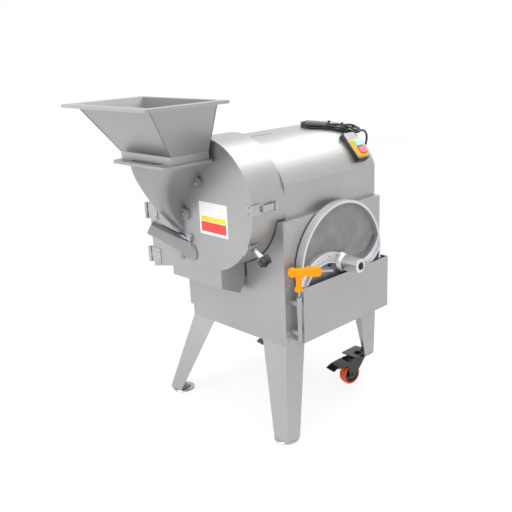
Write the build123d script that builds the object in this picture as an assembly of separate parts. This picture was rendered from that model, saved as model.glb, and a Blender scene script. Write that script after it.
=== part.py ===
"""Floor-standing vegetable cutting machine, in millimetres.

Upright frame: the door and hopper face -Y, the disc rack is on +X, and Z = 0 is the floor.
X = 0 is the middle of the front plate, and Y = 0 is its front face. The finished pieces are
moved by HOME_SHIFT, so that the origin is the middle of the machine's footprint.
"""

from build123d import *
import math
import os

# Cabinet
FRONT_WIDTH = 460.0
CABINET_BACK = 487.0
BASE_BOTTOM = 289.0
RAIL_HEIGHT = 36.0
RAIL_WIDTH = 30.0
SHELF_HEIGHT = 699.0
SHOULDER_HEIGHT = 806.0
CROWN_RISE = 136.0
CROWN_SLOT_X = 40.0
CROWN_SLOT_WIDTH = 3.0
CROWN_SLOT_START = 64.0
CROWN_SLOT_LENGTH = 96.0
UPPER_WIDTH = 414.0
LOWER_WIDTH = 426.0
SHEET = 2.0
FRONT_SHEET = 2.0
BULKHEAD_FACE = 34.5
BULKHEAD_SHEET = 3.0
COVER_FLANGE = 16.0
SEAT_GAP = 0.3
SIDE_COVER_STANDOFF = 17.0
LEFT_COVER_STANDOFF = 37.0
LOUVER_COUNT = 7
LOUVER_PITCH = 22.0
LOUVER_LENGTH = 130.0
LOUVER_WIDTH = 7.0
LOUVER_MIDDLE = 170.0
LOUVER_DROP = 40.0

# Legs, front feet and rear casters
LEG_SHEET = 3.0
LEG_TOP_WING_X = 107.0
LEG_TOP_WING_Y = 85.0
FRONT_LEG_SPLAY_X = 69.0
FRONT_LEG_SPLAY_Y = 81.0
FRONT_LEG_FOOT_WING = 58.0
REAR_LEG_INSET_Y = 21.0
REAR_LEG_TAPER_X = 6.0
REAR_LEG_FOOT_WING = 52.0
FOOT_PLATE = 4.0
FOOT_DISC_RADIUS = 40.4
FOOT_DISC_THICKNESS = 5.0
FOOT_DISC_INSET_X = 35.0
FOOT_DISC_INSET_Y = 33.0
STUD_RADIUS = 6.0
STUD_HEIGHT = 34.0
NUT_RADIUS = 10.0
NUT_HEIGHT = 8.0
CASTER_HEIGHT = 112.0
CASTER_PLATE_SIZE = 84.0
CASTER_PLATE_THICKNESS = 3.0
CASTER_SWIVEL_X = 182.0
CASTER_SWIVEL_Y = 424.0
CASTER_TRAIL = 38.0
CASTER_YAW = 11.5
WHEEL_RADIUS = 37.5
WHEEL_WIDTH = 28.0
TREAD_THICKNESS = 8.0
WHEEL_AXLE_RADIUS = 5.0
FORK_SHEET = 3.0
FORK_CLEARANCE = 2.0
PEDAL_REACH = 130.0
PEDAL_PIVOT = 50.0
PEDAL_HEIGHT = 88.0
RUNNING_FIT = 0.05

# Drum, door and discharge chute
DRUM_HEIGHT = 745.0
RING_RADIUS = 209.2
RING_SHEET = 2.0
DOOR_RADIUS = 212.0
DOOR_FRONT = -108.0
DOOR_SHEET = 2.0
DOOR_RIM_DEPTH = 12.0
DOOR_HINGE_EDGE = -297.0
DOOR_HINGE_EDGE_TOP = 800.0
DOOR_HINGE_EDGE_BOTTOM = 487.0
CHUTE_LEFT = -191.0
CHUTE_RIGHT = 58.0
CHUTE_FRONT_HEIGHT = 478.0
CHUTE_NOTCH_HEIGHT = 508.0
CHUTE_BACK_HEIGHT = 443.0
CHUTE_BACK_Y = -28.0
CHUTE_TOP_HEIGHT = 567.0
CHUTE_RIM_GAP = 3.0
EAR_INSET = 7.0
EAR_SHEET = 3.0
EAR_DEPTH = 30.0

# Cutting disc, the same casting in the drum and in the rack
DISC_RADIUS = 205.0
DISC_RIM_DEPTH = 26.0
DISC_RIM_WALL = 9.0
DISC_PLATE = 12.0
DISC_HUB_LENGTH = 98.0
DISC_HUB_BASE_RADIUS = 34.0
DISC_HUB_END_RADIUS = 23.0
DISC_ARM_WIDTH = 36.0
DISC_ARM_HEIGHT = 16.0
DISC_ARM_RADIUS = 127.0
DISC_ARM_WALL = 6.0
DISC_ARM_POCKET = 7.0
RACK_DISC_TURN = -42.7
DISC_SLOT_WIDTH = 16.0
BLADE_THICKNESS = 2.5
DISC_FRONT_GAP = 12.0
SPINDLE_RADIUS = 13.0

# Spindle drive
BEARING_FLANGE_RADIUS = 62.0
BEARING_FLANGE_DEPTH = 12.0
BEARING_BODY_RADIUS = 38.0
BEARING_BODY_END = 212.0
BEARING_NOSE_Y = 14.0
PULLEY_START = 222.0
PULLEY_WIDTH = 32.0
SPINDLE_PULLEY_RADIUS = 100.0
MOTOR_PULLEY_RADIUS = 35.0
PULLEY_GROOVE = 9.0
BELT_WIDTH = 16.0
BELT_THICKNESS = 8.0
MOTOR_HEIGHT = 425.0
MOTOR_RADIUS = 72.0
MOTOR_LENGTH = 165.0
MOTOR_START = 48.0
MOTOR_SHAFT_RADIUS = 12.0
MOTOR_FIN_COUNT = 20
MOTOR_FIN_HEIGHT = 5.0
MOTOR_BASE_WIDTH = 120.0
MOTOR_SHELF_SHEET = 4.0

# Hopper, throat and feed tube, all carried by the door
HOPPER_CENTRE_X = -77.5
HOPPER_MOUTH_HALF = 182.7
HOPPER_MOUTH_FRONT = -370.0
HOPPER_MOUTH_BACK = -123.3
HOPPER_TOP = 1070.0
HOPPER_FLANGE = 32.0
HOPPER_BACK_FLANGE = 18.0
HOPPER_LIP = 9.0
HOPPER_NECK_HALF = 125.0
HOPPER_NECK_FRONT = -263.3
HOPPER_NECK_BACK = -119.7
HOPPER_NECK_TOP = 918.6
HOPPER_SHEET = 2.0
THROAT_TOP = 895.4
THROAT_FLANGE_THICKNESS = 9.0
THROAT_FLANGE_LEFT = -206.0
THROAT_FLANGE_RIGHT = 62.0
THROAT_FLANGE_FRONT = -298.0
THROAT_FLANGE_BACK = -112.0
THROAT_DEPTH = 238.0
THROAT_TOP_LEFT = -190.0
THROAT_TOP_RIGHT = 50.0
THROAT_TIP_LEFT = -168.0
THROAT_TIP_RIGHT = -121.0
THROAT_REACH = 165.0
THROAT_TIP_REACH = 7.0
THROAT_FRONT_CURVE = 1.33
THROAT_ROUNDING = 0.33
THROAT_STEPS = 8
THROAT_PORT_SHARES = (0.25, 0.5, 0.75, 0.875)
THROAT_WALL = 4.0
THROAT_LUG_UPPER = 0.31
THROAT_LUG_LOWER = 0.77
THROAT_LUG_RADIUS = 19.0
THROAT_LUG_STEP = 15.0
THROAT_LUG_SMALL = 11.0
THROAT_LUG_THICKNESS = 9.0
TUBE_RADIUS = 26.0
TUBE_WALL = 2.0
TUBE_REACH = 134.0
TUBE_BASE_X = -106.0
TUBE_BASE_DROP = 56.0
TUBE_LUG_RADIUS = 11.0
TUBE_FLANGE_EDGE = 9.0
TUBE_SPARE = 60.0
TUBE_FLANGE_THICKNESS = 4.0
TUBE_SCREW_REACH = 46.0
DOOR_SCREW_RADIUS = 5.0
DOOR_SCREW_HEAD = 4.0

# Door hinges, latch and clamp
HINGE_AXIS_X = -314.0
HINGE_AXIS_Y = -109.5
HINGE_KNUCKLE_RADIUS = 7.0
HINGE_PIN_RADIUS = 3.0
HINGE_LEAF = 2.3
HINGE_LEAF_REACH = -255.0
HINGE_HEIGHT = 54.0
UPPER_HINGE_BOTTOM = 658.0
LOWER_HINGE_BOTTOM = 502.0
LATCH_HEIGHT = 755.0
LATCH_PLATE_HEIGHT = 32.0
LATCH_SHEET = 2.5
LATCH_SCREW_RISE = 9.5
LATCH_SCREW_INSET = 15.5
LATCH_EAR_RADIUS = 4.5
LATCH_PIVOT_STEP = 7.5
LATCH_STANDOFF = 213.0
LATCH_TAB_BACK = -66.0
LATCH_PIVOT_Y = -16.0
LATCH_PIVOT_RADIUS = 2.5
CLAMP_ANGLE = -34.0
CLAMP_Y = -74.0
CLAMP_STUD_RADIUS = 5.0
CLAMP_STUD_LENGTH = 60.0
CLAMP_TAB_SHEET = 5.0
CLAMP_TAB_WIDTH = 36.0
CLAMP_TAB_BACK = 13.0
CLAMP_SLOT_WIDTH = 13.0
KNOB_RADIUS = 21.0
KNOB_DEPTH = 20.0
KNOB_COLLAR_RADIUS = 9.0
KNOB_COLLAR_LENGTH = 40.0
KNOB_LOBES = 5

# Disc rack, hex key and its holder
RACK_GAP = 3.5
RACK_PLATE_FRONT = 45.5
RACK_PLATE_BACK = 489.0
RACK_PLATE_TOP = 484.0
RACK_PLATE_BOTTOM = 300.0
RACK_PLATE_X = 264.0
RACK_SHEET = 2.0
RACK_DISC_Y = 250.5
RACK_DISC_HEIGHT = 520.0
HOLDER_X = 267.0
HOLDER_Y = 24.0
HOLDER_RADIUS = 8.5
HOLDER_TOP = 463.0
HOLDER_STEP = 407.0
HOLDER_LOWER_RADIUS = 7.0
HOLDER_BOTTOM = 316.0
HOLDER_FLOOR = 4.0
KEY_ROD_RADIUS = 3.5
KEY_FOOT_GAP = 22.0
KEY_HANDLE_LEFT = 33.0
KEY_HANDLE_RIGHT = 71.0
KEY_HANDLE_RADIUS = 14.5
KEY_STEM_RADIUS = 9.5
KEY_STEM_LENGTH = 60.0
KEY_HANDLE_THICKNESS = 23.0
KEY_SIDE_ROD = 36.0
KEY_TURN = 48.0

# Switch box on the crown, and the power cable
SWITCH_X = 168.0
SWITCH_Y = 422.0
SWITCH_LENGTH = 110.0
SWITCH_WIDTH = 62.0
SWITCH_BASE_HEIGHT = 12.0
SWITCH_PLATE_HEIGHT = 4.0
SWITCH_COVER_LENGTH = 68.0
SWITCH_COVER_WIDTH = 50.0
SWITCH_COVER_HEIGHT = 7.0
SWITCH_COVER_SHIFT = 14.0
BUTTON_LENGTH = 24.0
BUTTON_WIDTH = 34.0
BUTTON_HEIGHT = 12.0
BUTTON_GAP = 0.5
BUTTON_SHIFT = 14.0
BUTTON_TRAVEL = 2.5
CABLE_RADIUS = 3.75
GLAND_X = 100.0
GLAND_HEIGHT = 826.0
GLAND_RADIUS = 11.0
GLAND_LENGTH = 24.0
HANK_HEIGHT = 17.0
HANK_BACK = 484.0
TIE_WIDTH = 3.5
TIE_THICKNESS = 2.0
PLUG_LENGTH = 72.0
PLUG_RADIUS = 11.0
PLUG_RELIEF_RADIUS = 4.2
PLUG_RELIEF_LENGTH = 16.0
PLUG_MIDDLE_X = 52.0
PLUG_MIDDLE_Y = 358.0
PLUG_HEADING = 238.0

# Values worked out from the sizes above
HALF_FRONT = FRONT_WIDTH / 2
KEY_HANDLE_HEIGHT = HOLDER_TOP + KEY_FOOT_GAP + KEY_STEM_LENGTH
HALF_UPPER = UPPER_WIDTH / 2
HALF_LOWER = LOWER_WIDTH / 2
RAIL_TOP = BASE_BOTTOM + RAIL_HEIGHT
CROWN_HEIGHT = SHOULDER_HEIGHT + CROWN_RISE
CROWN_RADIUS = (HALF_UPPER**2 + CROWN_RISE**2) / (2 * CROWN_RISE)
CROWN_CENTRE = CROWN_HEIGHT - CROWN_RADIUS
RIGHT_COVER_X = HALF_LOWER + SIDE_COVER_STANDOFF
LEFT_COVER_X = -HALF_LOWER - LEFT_COVER_STANDOFF
DOOR_BACK = DOOR_FRONT + DOOR_SHEET
HOUSING_FRONT = DOOR_BACK + SEAT_GAP
RING_INNER = RING_RADIUS - RING_SHEET
DISC_FACE_Y = HOUSING_FRONT + DISC_FRONT_GAP
SPINDLE_PULLEY_MIDDLE = PULLEY_START + PULLEY_WIDTH / 2
RACK_DISC_X = RIGHT_COVER_X + RACK_GAP
TUBE_DIRECTION = Vector(-0.69, -0.53, 0.49).normalized()
THROAT_UNDERSIDE = THROAT_TOP - THROAT_FLANGE_THICKNESS
TUBE_BASE_HEIGHT = THROAT_UNDERSIDE - THROAT_DEPTH - TUBE_BASE_DROP

def along_y(profile, start, end):
    """Extrude a profile drawn in X and Z from Y = start to Y = end."""
    return extrude(Plane.XZ.offset(-end) * profile, end - start)


def along_x(profile, start, end):
    """Extrude a profile drawn in Y and Z from X = start to X = end."""
    return extrude(Plane.YZ.offset(start) * profile, end - start)


def along_z(profile, start, end):
    """Extrude a profile drawn in X and Y from Z = start to Z = end."""
    return extrude(Plane.XY.offset(start) * profile, end - start)


def block(x_range, y_range, z_range):
    """A box between three pairs of limits."""
    middle = [(low + high) / 2 for low, high in (x_range, y_range, z_range)]
    size = [high - low for low, high in (x_range, y_range, z_range)]
    return Pos(*middle) * Box(*size)


def span(low, high):
    """A rectangle between two corners, on the drawing plane."""
    middle = Pos((low[0] + high[0]) / 2, (low[1] + high[1]) / 2)
    return middle * Rectangle(high[0] - low[0], high[1] - low[1])


def disc_profile(radius, centre=(0, DRUM_HEIGHT)):
    """A filled circle on the X and Z drawing plane, centred on the spindle by default."""
    return Pos(*centre) * Circle(radius)


def crown_profile(radius, low):
    """The arched top above height low, as a filled shape."""
    circle = Pos(0, CROWN_CENTRE) * Circle(radius)
    return circle & span((-HALF_UPPER, low), (HALF_UPPER, CROWN_HEIGHT))


def base_frame():
    """Welded rail frame under the cabinet, of channel that opens inward, with the motor shelf."""
    y_range = (FRONT_SHEET, CABINET_BACK)
    z_range = (BASE_BOTTOM, RAIL_TOP)
    frame = block((-HALF_FRONT, HALF_FRONT), y_range, z_range)
    inside = HALF_FRONT - RAIL_WIDTH
    frame -= block(
        (-inside, inside),
        (y_range[0] + RAIL_WIDTH, y_range[1] - RAIL_WIDTH),
        (BASE_BOTTOM - 1, RAIL_TOP + 1),
    )
    wall = HALF_FRONT - LEG_SHEET
    frame -= block(
        (-wall, wall),
        (y_range[0] + LEG_SHEET, y_range[1] - LEG_SHEET),
        (BASE_BOTTOM + LEG_SHEET, RAIL_TOP - LEG_SHEET),
    )
    shelf_y = (MOTOR_START - 2, MOTOR_START + MOTOR_LENGTH + 8)
    shelf_z = (RAIL_TOP - MOTOR_SHELF_SHEET, RAIL_TOP)
    frame += block((-inside - 1, inside + 1), shelf_y, shelf_z)
    return frame


def cabinet_body():
    """Sheet body: straight sides with a step in at the shelf, a front bulkhead and a back panel."""
    low = span((-HALF_LOWER, RAIL_TOP), (HALF_LOWER, SHELF_HEIGHT))
    high = span((-HALF_UPPER, SHELF_HEIGHT - 1), (HALF_UPPER, SHOULDER_HEIGHT))
    inner_low = span(
        (-HALF_LOWER + SHEET, RAIL_TOP - 1),
        (HALF_LOWER - SHEET, SHELF_HEIGHT - SHEET),
    )
    inner_high = span(
        (-HALF_UPPER + SHEET, SHELF_HEIGHT - SHEET - 1),
        (HALF_UPPER - SHEET, SHOULDER_HEIGHT + 1),
    )
    body = along_y(low + high - inner_low - inner_high, BULKHEAD_FACE, CABINET_BACK)
    crown = crown_profile(CROWN_RADIUS - SHEET - SEAT_GAP, SHOULDER_HEIGHT - 1)
    end_wall = low + high + crown
    bulkhead = along_y(end_wall, BULKHEAD_FACE, BULKHEAD_FACE + BULKHEAD_SHEET)
    bulkhead -= along_y(
        disc_profile(BEARING_BODY_RADIUS + SEAT_GAP), BULKHEAD_FACE - 1, BULKHEAD_FACE + 5
    )
    back = along_y(end_wall, CABINET_BACK - SHEET, CABINET_BACK)
    back -= along_y(
        disc_profile(GLAND_RADIUS * 0.7 + SEAT_GAP, (GLAND_X, GLAND_HEIGHT)),
        CABINET_BACK - SHEET - 1,
        CABINET_BACK + 1,
    )
    for row in range(LOUVER_COUNT):
        height = MOTOR_HEIGHT - 60 + row * LOUVER_PITCH
        slot = Pos(0, height) * SlotOverall(LOUVER_LENGTH, LOUVER_WIDTH)
        back -= along_y(slot, CABINET_BACK - SHEET - 1, CABINET_BACK + 1)
    return body + bulkhead + back


def top_cover():
    """Rolled sheet over the arched top, with a flange tucked inside each shoulder."""
    band = crown_profile(CROWN_RADIUS, SHOULDER_HEIGHT)
    band -= Pos(0, CROWN_CENTRE) * Circle(CROWN_RADIUS - SHEET)
    cover = along_y(band, BULKHEAD_FACE, CABINET_BACK)
    flange_x = HALF_UPPER - SHEET - SEAT_GAP
    flange_y = (BULKHEAD_FACE + BULKHEAD_SHEET + 1, CABINET_BACK - SHEET - 1)
    flange_z = (SHOULDER_HEIGHT - COVER_FLANGE, SHOULDER_HEIGHT + 4)
    for side in (-1, 1):
        x_range = sorted((side * flange_x, side * (flange_x - SHEET)))
        cover += block(x_range, flange_y, flange_z)
    slot = Pos(CROWN_SLOT_X, CROWN_SLOT_START + CROWN_SLOT_LENGTH / 2, CROWN_HEIGHT)
    return cover - slot * Box(CROWN_SLOT_WIDTH, CROWN_SLOT_LENGTH, COVER_FLANGE)


def front_plate():
    """Front sheet with side returns, cut out round the drum and the discharge chute."""
    face = span((-HALF_FRONT, BASE_BOTTOM), (HALF_FRONT, SHELF_HEIGHT))
    face -= disc_profile(RING_RADIUS + 3)
    face -= span((CHUTE_LEFT - 2, 496), (CHUTE_RIGHT + 2, DRUM_HEIGHT))
    plate = along_y(face, 0, FRONT_SHEET)
    for side in (-1, 1):
        x_range = sorted((side * HALF_LOWER, side * (HALF_LOWER - SHEET)))
        plate += block(x_range, (FRONT_SHEET - 0.5, BULKHEAD_FACE), (RAIL_TOP, SHELF_HEIGHT))
    return plate


def side_cover(outer_x, side):
    """Shallow pan with its open side against the cabinet body."""
    y_range = (FRONT_SHEET + SEAT_GAP, CABINET_BACK)
    z_range = (RAIL_TOP + SEAT_GAP, SHELF_HEIGHT)
    inner_x = side * (HALF_LOWER + SEAT_GAP)
    pan = block(sorted((inner_x, outer_x)), y_range, z_range)
    hollow_x = sorted((inner_x - side * 1, outer_x - side * SHEET))
    pan -= block(
        hollow_x,
        (y_range[0] + SHEET, y_range[1] - SHEET),
        (z_range[0] + SHEET, z_range[1] - SHEET),
    )
    edges = pan.edges().filter_by(Axis.Y).group_by(Axis.X)[-1 if side > 0 else 0]
    return fillet(edges, 1.2)


def side_cover_left():
    """Left cover with a field of cooling slots beside the motor."""
    pan = side_cover(LEFT_COVER_X, -1)
    for row in range(LOUVER_COUNT):
        place = Pos(LOUVER_MIDDLE, MOTOR_HEIGHT - LOUVER_DROP + row * LOUVER_PITCH)
        slot = place * SlotOverall(LOUVER_LENGTH, LOUVER_WIDTH)
        pan -= along_x(slot, LEFT_COVER_X - 1, LEFT_COVER_X + SHEET + 1)
    return pan


def cover_screw_places():
    """Screw heads on the right cover and rail: outer face, then Y and Z of each."""
    top = SHELF_HEIGHT - 21
    middle = (RAIL_TOP + SHELF_HEIGHT) / 2 - 18
    low = BASE_BOTTOM + RAIL_HEIGHT / 2
    front, back = 16.0, CABINET_BACK - 12
    right = [(RIGHT_COVER_X, y, z) for y in (front, back) for z in (top, middle, RAIL_TOP + 14)]
    right += [(HALF_FRONT, y, low) for y in (front, back)]
    left = [(LEFT_COVER_X, y, z) for y in (front, back) for z in (top, middle, RAIL_TOP + 14)]
    return right, left


def cover_screws():
    """Domed screw heads that hold the side covers, one solid each."""
    right, left = cover_screw_places()
    heads = []
    for places, side in ((right, 1), (left, -1)):
        for x, y, z in places:
            head = Plane((x, y, z), z_dir=(side, 0, 0)) * (Pos(0, 0, 1.25) * Cylinder(4.5, 2.5))
            top = head.edges().group_by(Axis.X)[-1 if side > 0 else 0]
            heads.append(fillet(top, 1.2))
    return Compound(heads)


def leg_section(corner, inward, wings, height):
    """L outline of a leg at one height: outer corner, inward signs and wing lengths."""
    (x, y), (sx, sy), (wx, wy) = corner, inward, wings
    t = LEG_SHEET
    points = [(0, 0), (wx, 0), (wx, t), (t, t), (t, wy), (0, wy)]
    moved = [(x + sx * px, y + sy * py) for px, py in points]
    if sx * sy < 0:
        moved.reverse()
    return Plane.XY.offset(height) * make_face(Polyline(*moved, close=True))


def leg(side, front):
    """Folded, tapered sheet leg: splayed at the front, upright at the back."""
    if front:
        top = (side * HALF_FRONT, 0)
        foot = (side * (HALF_FRONT + FRONT_LEG_SPLAY_X), -FRONT_LEG_SPLAY_Y)
        foot_wing = FRONT_LEG_FOOT_WING
        foot_height = FOOT_DISC_THICKNESS
    else:
        back = CABINET_BACK - REAR_LEG_INSET_Y
        top = (side * HALF_FRONT, back)
        foot = (side * (HALF_FRONT - REAR_LEG_TAPER_X), back)
        foot_wing = REAR_LEG_FOOT_WING
        foot_height = CASTER_HEIGHT
    inward = (-side, 1 if front else -1)
    upper = leg_section(top, inward, (LEG_TOP_WING_X, LEG_TOP_WING_Y), BASE_BOTTOM)
    lower = leg_section(foot, inward, (foot_wing, foot_wing), foot_height)
    shape = loft([lower, upper], ruled=True)
    shape += foot_plate(foot, inward, foot_wing - 6, foot_height, front)
    return shape


def foot_plate(corner, inward, size, height, front):
    """Plate inside the leg's lower end: whole on a front leg, L shaped over a caster."""
    (x, y), (sx, sy) = corner, inward
    x_range = sorted((x + sx * 1, x + sx * size))
    y_range = sorted((y + sy * 1, y + sy * size))
    plate = block(x_range, y_range, (height, height + FOOT_PLATE))
    if front:
        hole = along_z(Pos(*front_foot_place(-inward[0])) * Circle(STUD_RADIUS + SEAT_GAP), 0, 20)
        return plate - hole
    for dx, dy in caster_bolt_offsets(-sx):
        place = Pos(-sx * CASTER_SWIVEL_X + dx, CASTER_SWIVEL_Y + dy)
        plate -= along_z(place * Circle(4.3), height - 1, height + FOOT_PLATE + 1)
    cut_x = sorted((x + sx * 22, x + sx * (size + 1)))
    cut_y = sorted((y + sy * 22, y + sy * (size + 1)))
    return plate - block(cut_x, cut_y, (height - 1, height + FOOT_PLATE + 1))


def front_foot_place(side):
    """Centre of a front foot disc."""
    x = HALF_FRONT + FRONT_LEG_SPLAY_X - FOOT_DISC_INSET_X
    return (side * x, -FRONT_LEG_SPLAY_Y + FOOT_DISC_INSET_Y)


def leveling_feet():
    """Round front feet, each a disc with its stud and nut."""
    feet = []
    for side in (-1, 1):
        place = Pos(*front_foot_place(side), 0)
        disc = place * along_z(Circle(FOOT_DISC_RADIUS), 0, FOOT_DISC_THICKNESS)
        disc = chamfer(disc.edges().group_by(Axis.Z)[-1], 1.5)
        stud = place * along_z(Circle(STUD_RADIUS), FOOT_DISC_THICKNESS - 1, STUD_HEIGHT)
        seat = FOOT_DISC_THICKNESS + FOOT_PLATE
        nut = place * along_z(RegularPolygon(NUT_RADIUS, 6), seat, seat + NUT_HEIGHT)
        feet.append(disc + stud + nut)
    return Compound(feet)


def caster_plates():
    """Black fixed plates of both casters, with the raised swivel boss."""
    plates = []
    half = CASTER_PLATE_SIZE / 2
    top = CASTER_HEIGHT
    for side in (-1, 1):
        outline = RectangleRounded(2 * half, 2 * half, 6)
        plate = along_z(outline, top - CASTER_PLATE_THICKNESS, top)
        boss = along_z(Circle(14), top - 1, top + 3)
        bolt = along_z(RegularPolygon(9, 6), top + 2, top + 8)
        x = side * CASTER_SWIVEL_X
        solid = plate + boss + bolt
        for dx, dy in caster_bolt_offsets(side):
            solid -= Pos(dx, dy, 0) * along_z(Circle(4.3), top - 5, top + 1)
        plates.append(Pos(x, CASTER_SWIVEL_Y, 0) * solid)
    return Compound(plates)


def caster_bolt_offsets(side):
    """Plate bolts from the swivel axis, under the leg's L-shaped foot plate."""
    reach = CASTER_PLATE_SIZE / 2 - 11
    return [(side * reach, reach), (side * reach, 0), (0, reach)]


def leg_bolts():
    """Bolts between the caster plates and the rear legs."""
    bolts = []
    for side in (-1, 1):
        for dx, dy in caster_bolt_offsets(side):
            place = Pos(side * CASTER_SWIVEL_X + dx, CASTER_SWIVEL_Y + dy, 0)
            seat = CASTER_HEIGHT + FOOT_PLATE
            head = along_z(RegularPolygon(6.5, 6), seat, seat + 5)
            shank = along_z(Circle(4), CASTER_HEIGHT - CASTER_PLATE_THICKNESS, seat)
            bolts.append(place * (head + shank))
    return Compound(bolts)


def caster_place(side):
    """Swivel frame of a caster: local +X is the trail, local +Y the wheel axle."""
    angle = -90 - CASTER_YAW
    return Pos(side * CASTER_SWIVEL_X, CASTER_SWIVEL_Y, 0) * Rot(0, 0, angle)


def caster_fork(side):
    """Swivel head and side plates, with the axle bolt and the pedal pivot."""
    head_top = CASTER_HEIGHT - CASTER_PLATE_THICKNESS - SEAT_GAP
    crown = head_top - 8
    inner = WHEEL_WIDTH / 2 + FORK_CLEARANCE
    outer = inner + FORK_SHEET
    fork = along_z(Circle(26), crown, head_top)
    fork += block((-26, 40), (-outer, outer), (crown - 3, crown + 1))
    side_plate = make_face(
        Polyline(
            (-26, crown),
            (PEDAL_PIVOT + 8, crown),
            (PEDAL_PIVOT + 10, PEDAL_HEIGHT - 8),
            (CASTER_TRAIL + 14, WHEEL_RADIUS + 6),
            (CASTER_TRAIL - 14, WHEEL_RADIUS - 5),
            close=True,
        )
    )
    side_plate += Pos(CASTER_TRAIL, WHEEL_RADIUS) * Circle(15)
    for low in (-outer, inner):
        fork += along_y(side_plate, low, low + FORK_SHEET)
    axle = Pos(CASTER_TRAIL, WHEEL_RADIUS) * Circle(WHEEL_AXLE_RADIUS)
    fork += along_y(axle, -outer - 4, outer + 4)
    pivot = Pos(PEDAL_PIVOT, PEDAL_HEIGHT) * Circle(3)
    fork += along_y(pivot, -outer - 2, outer + 2)
    return caster_place(side) * fork


def caster_core(side):
    """Dished wheel centre."""
    half = WHEEL_WIDTH / 2 - 1
    rim = WHEEL_RADIUS - TREAD_THICKNESS
    profile = Polyline(
        (WHEEL_AXLE_RADIUS + RUNNING_FIT, -half - 2),
        (11, -half - 2),
        (13, -half + 5),
        (rim - 5, -half + 5),
        (rim - 2, -half),
        (rim, -half),
        (rim, half),
        (rim - 2, half),
        (rim - 5, half - 5),
        (13, half - 5),
        (11, half + 2),
        (WHEEL_AXLE_RADIUS + RUNNING_FIT, half + 2),
        close=True,
    )
    core = revolve(make_face(profile), Axis.Y)
    return caster_place(side) * Pos(CASTER_TRAIL, 0, WHEEL_RADIUS) * core


def caster_tread(side):
    """Polyurethane tread with rounded shoulders."""
    half = WHEEL_WIDTH / 2
    rim = WHEEL_RADIUS - TREAD_THICKNESS
    outline = span((rim, -half), (WHEEL_RADIUS, half))
    outline = fillet(outline.vertices().group_by(Axis.X)[-1], 4)
    tread = revolve(outline, Axis.Y)
    return caster_place(side) * Pos(CASTER_TRAIL, 0, WHEEL_RADIUS) * tread


def caster_pedal(side):
    """Brake pedal on the fork: two ears and a bent tread plate that reaches past the wheel."""
    ear_inner = WHEEL_WIDTH / 2 + FORK_CLEARANCE + FORK_SHEET + SEAT_GAP
    ear = make_face(
        Polyline(
            (PEDAL_PIVOT - 7, PEDAL_HEIGHT - 6),
            (PEDAL_PIVOT + 18, PEDAL_HEIGHT - 7),
            (PEDAL_REACH - 22, PEDAL_HEIGHT - 7),
            (PEDAL_REACH - 22, PEDAL_HEIGHT + 1),
            (PEDAL_PIVOT + 14, PEDAL_HEIGHT + 9),
            (PEDAL_PIVOT - 7, PEDAL_HEIGHT + 8),
            close=True,
        )
    )
    plate = make_face(
        Polyline(
            (PEDAL_PIVOT + 14, PEDAL_HEIGHT + 10),
            (PEDAL_REACH - 22, PEDAL_HEIGHT + 2),
            (PEDAL_REACH, PEDAL_HEIGHT - 9),
            (PEDAL_REACH - 2, PEDAL_HEIGHT - 12),
            (PEDAL_REACH - 23, PEDAL_HEIGHT - 1),
            (PEDAL_PIVOT + 14, PEDAL_HEIGHT + 7),
            close=True,
        )
    )
    outer = ear_inner + 2.5
    pedal = along_y(plate, -outer, outer)
    for low in (-outer, ear_inner):
        pedal += along_y(ear, low, low + 2.5)
    bore = Pos(PEDAL_PIVOT, PEDAL_HEIGHT) * Circle(3 + RUNNING_FIT)
    pedal -= along_y(bore, -outer - 1, outer + 1)
    return caster_place(side) * pedal


def door_outline(inset=0.0):
    """Door front: the drum circle, a straight hinge side on the left and the chute tongue."""
    reach = math.hypot(DOOR_HINGE_EDGE, DOOR_HINGE_EDGE_TOP - DRUM_HEIGHT)
    lean = math.atan2(DOOR_HINGE_EDGE_TOP - DRUM_HEIGHT, DOOR_HINGE_EDGE)
    turn = lean - math.acos(DOOR_RADIUS / reach)
    tangent = (DOOR_RADIUS * math.cos(turn), DRUM_HEIGHT + DOOR_RADIUS * math.sin(turn))
    corner = make_face(
        Polyline(
            (DOOR_HINGE_EDGE, DOOR_HINGE_EDGE_BOTTOM),
            (DOOR_HINGE_EDGE, DOOR_HINGE_EDGE_TOP),
            tangent,
            (0, DRUM_HEIGHT),
            (CHUTE_RIGHT, DRUM_HEIGHT - 40),
            (CHUTE_RIGHT, CHUTE_FRONT_HEIGHT),
            (CHUTE_LEFT, CHUTE_FRONT_HEIGHT),
            (CHUTE_LEFT, CHUTE_NOTCH_HEIGHT),
            close=True,
        )
    )
    outline = disc_profile(DOOR_RADIUS) + corner
    return offset(outline, -inset, kind=Kind.INTERSECTION) if inset else outline


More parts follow.
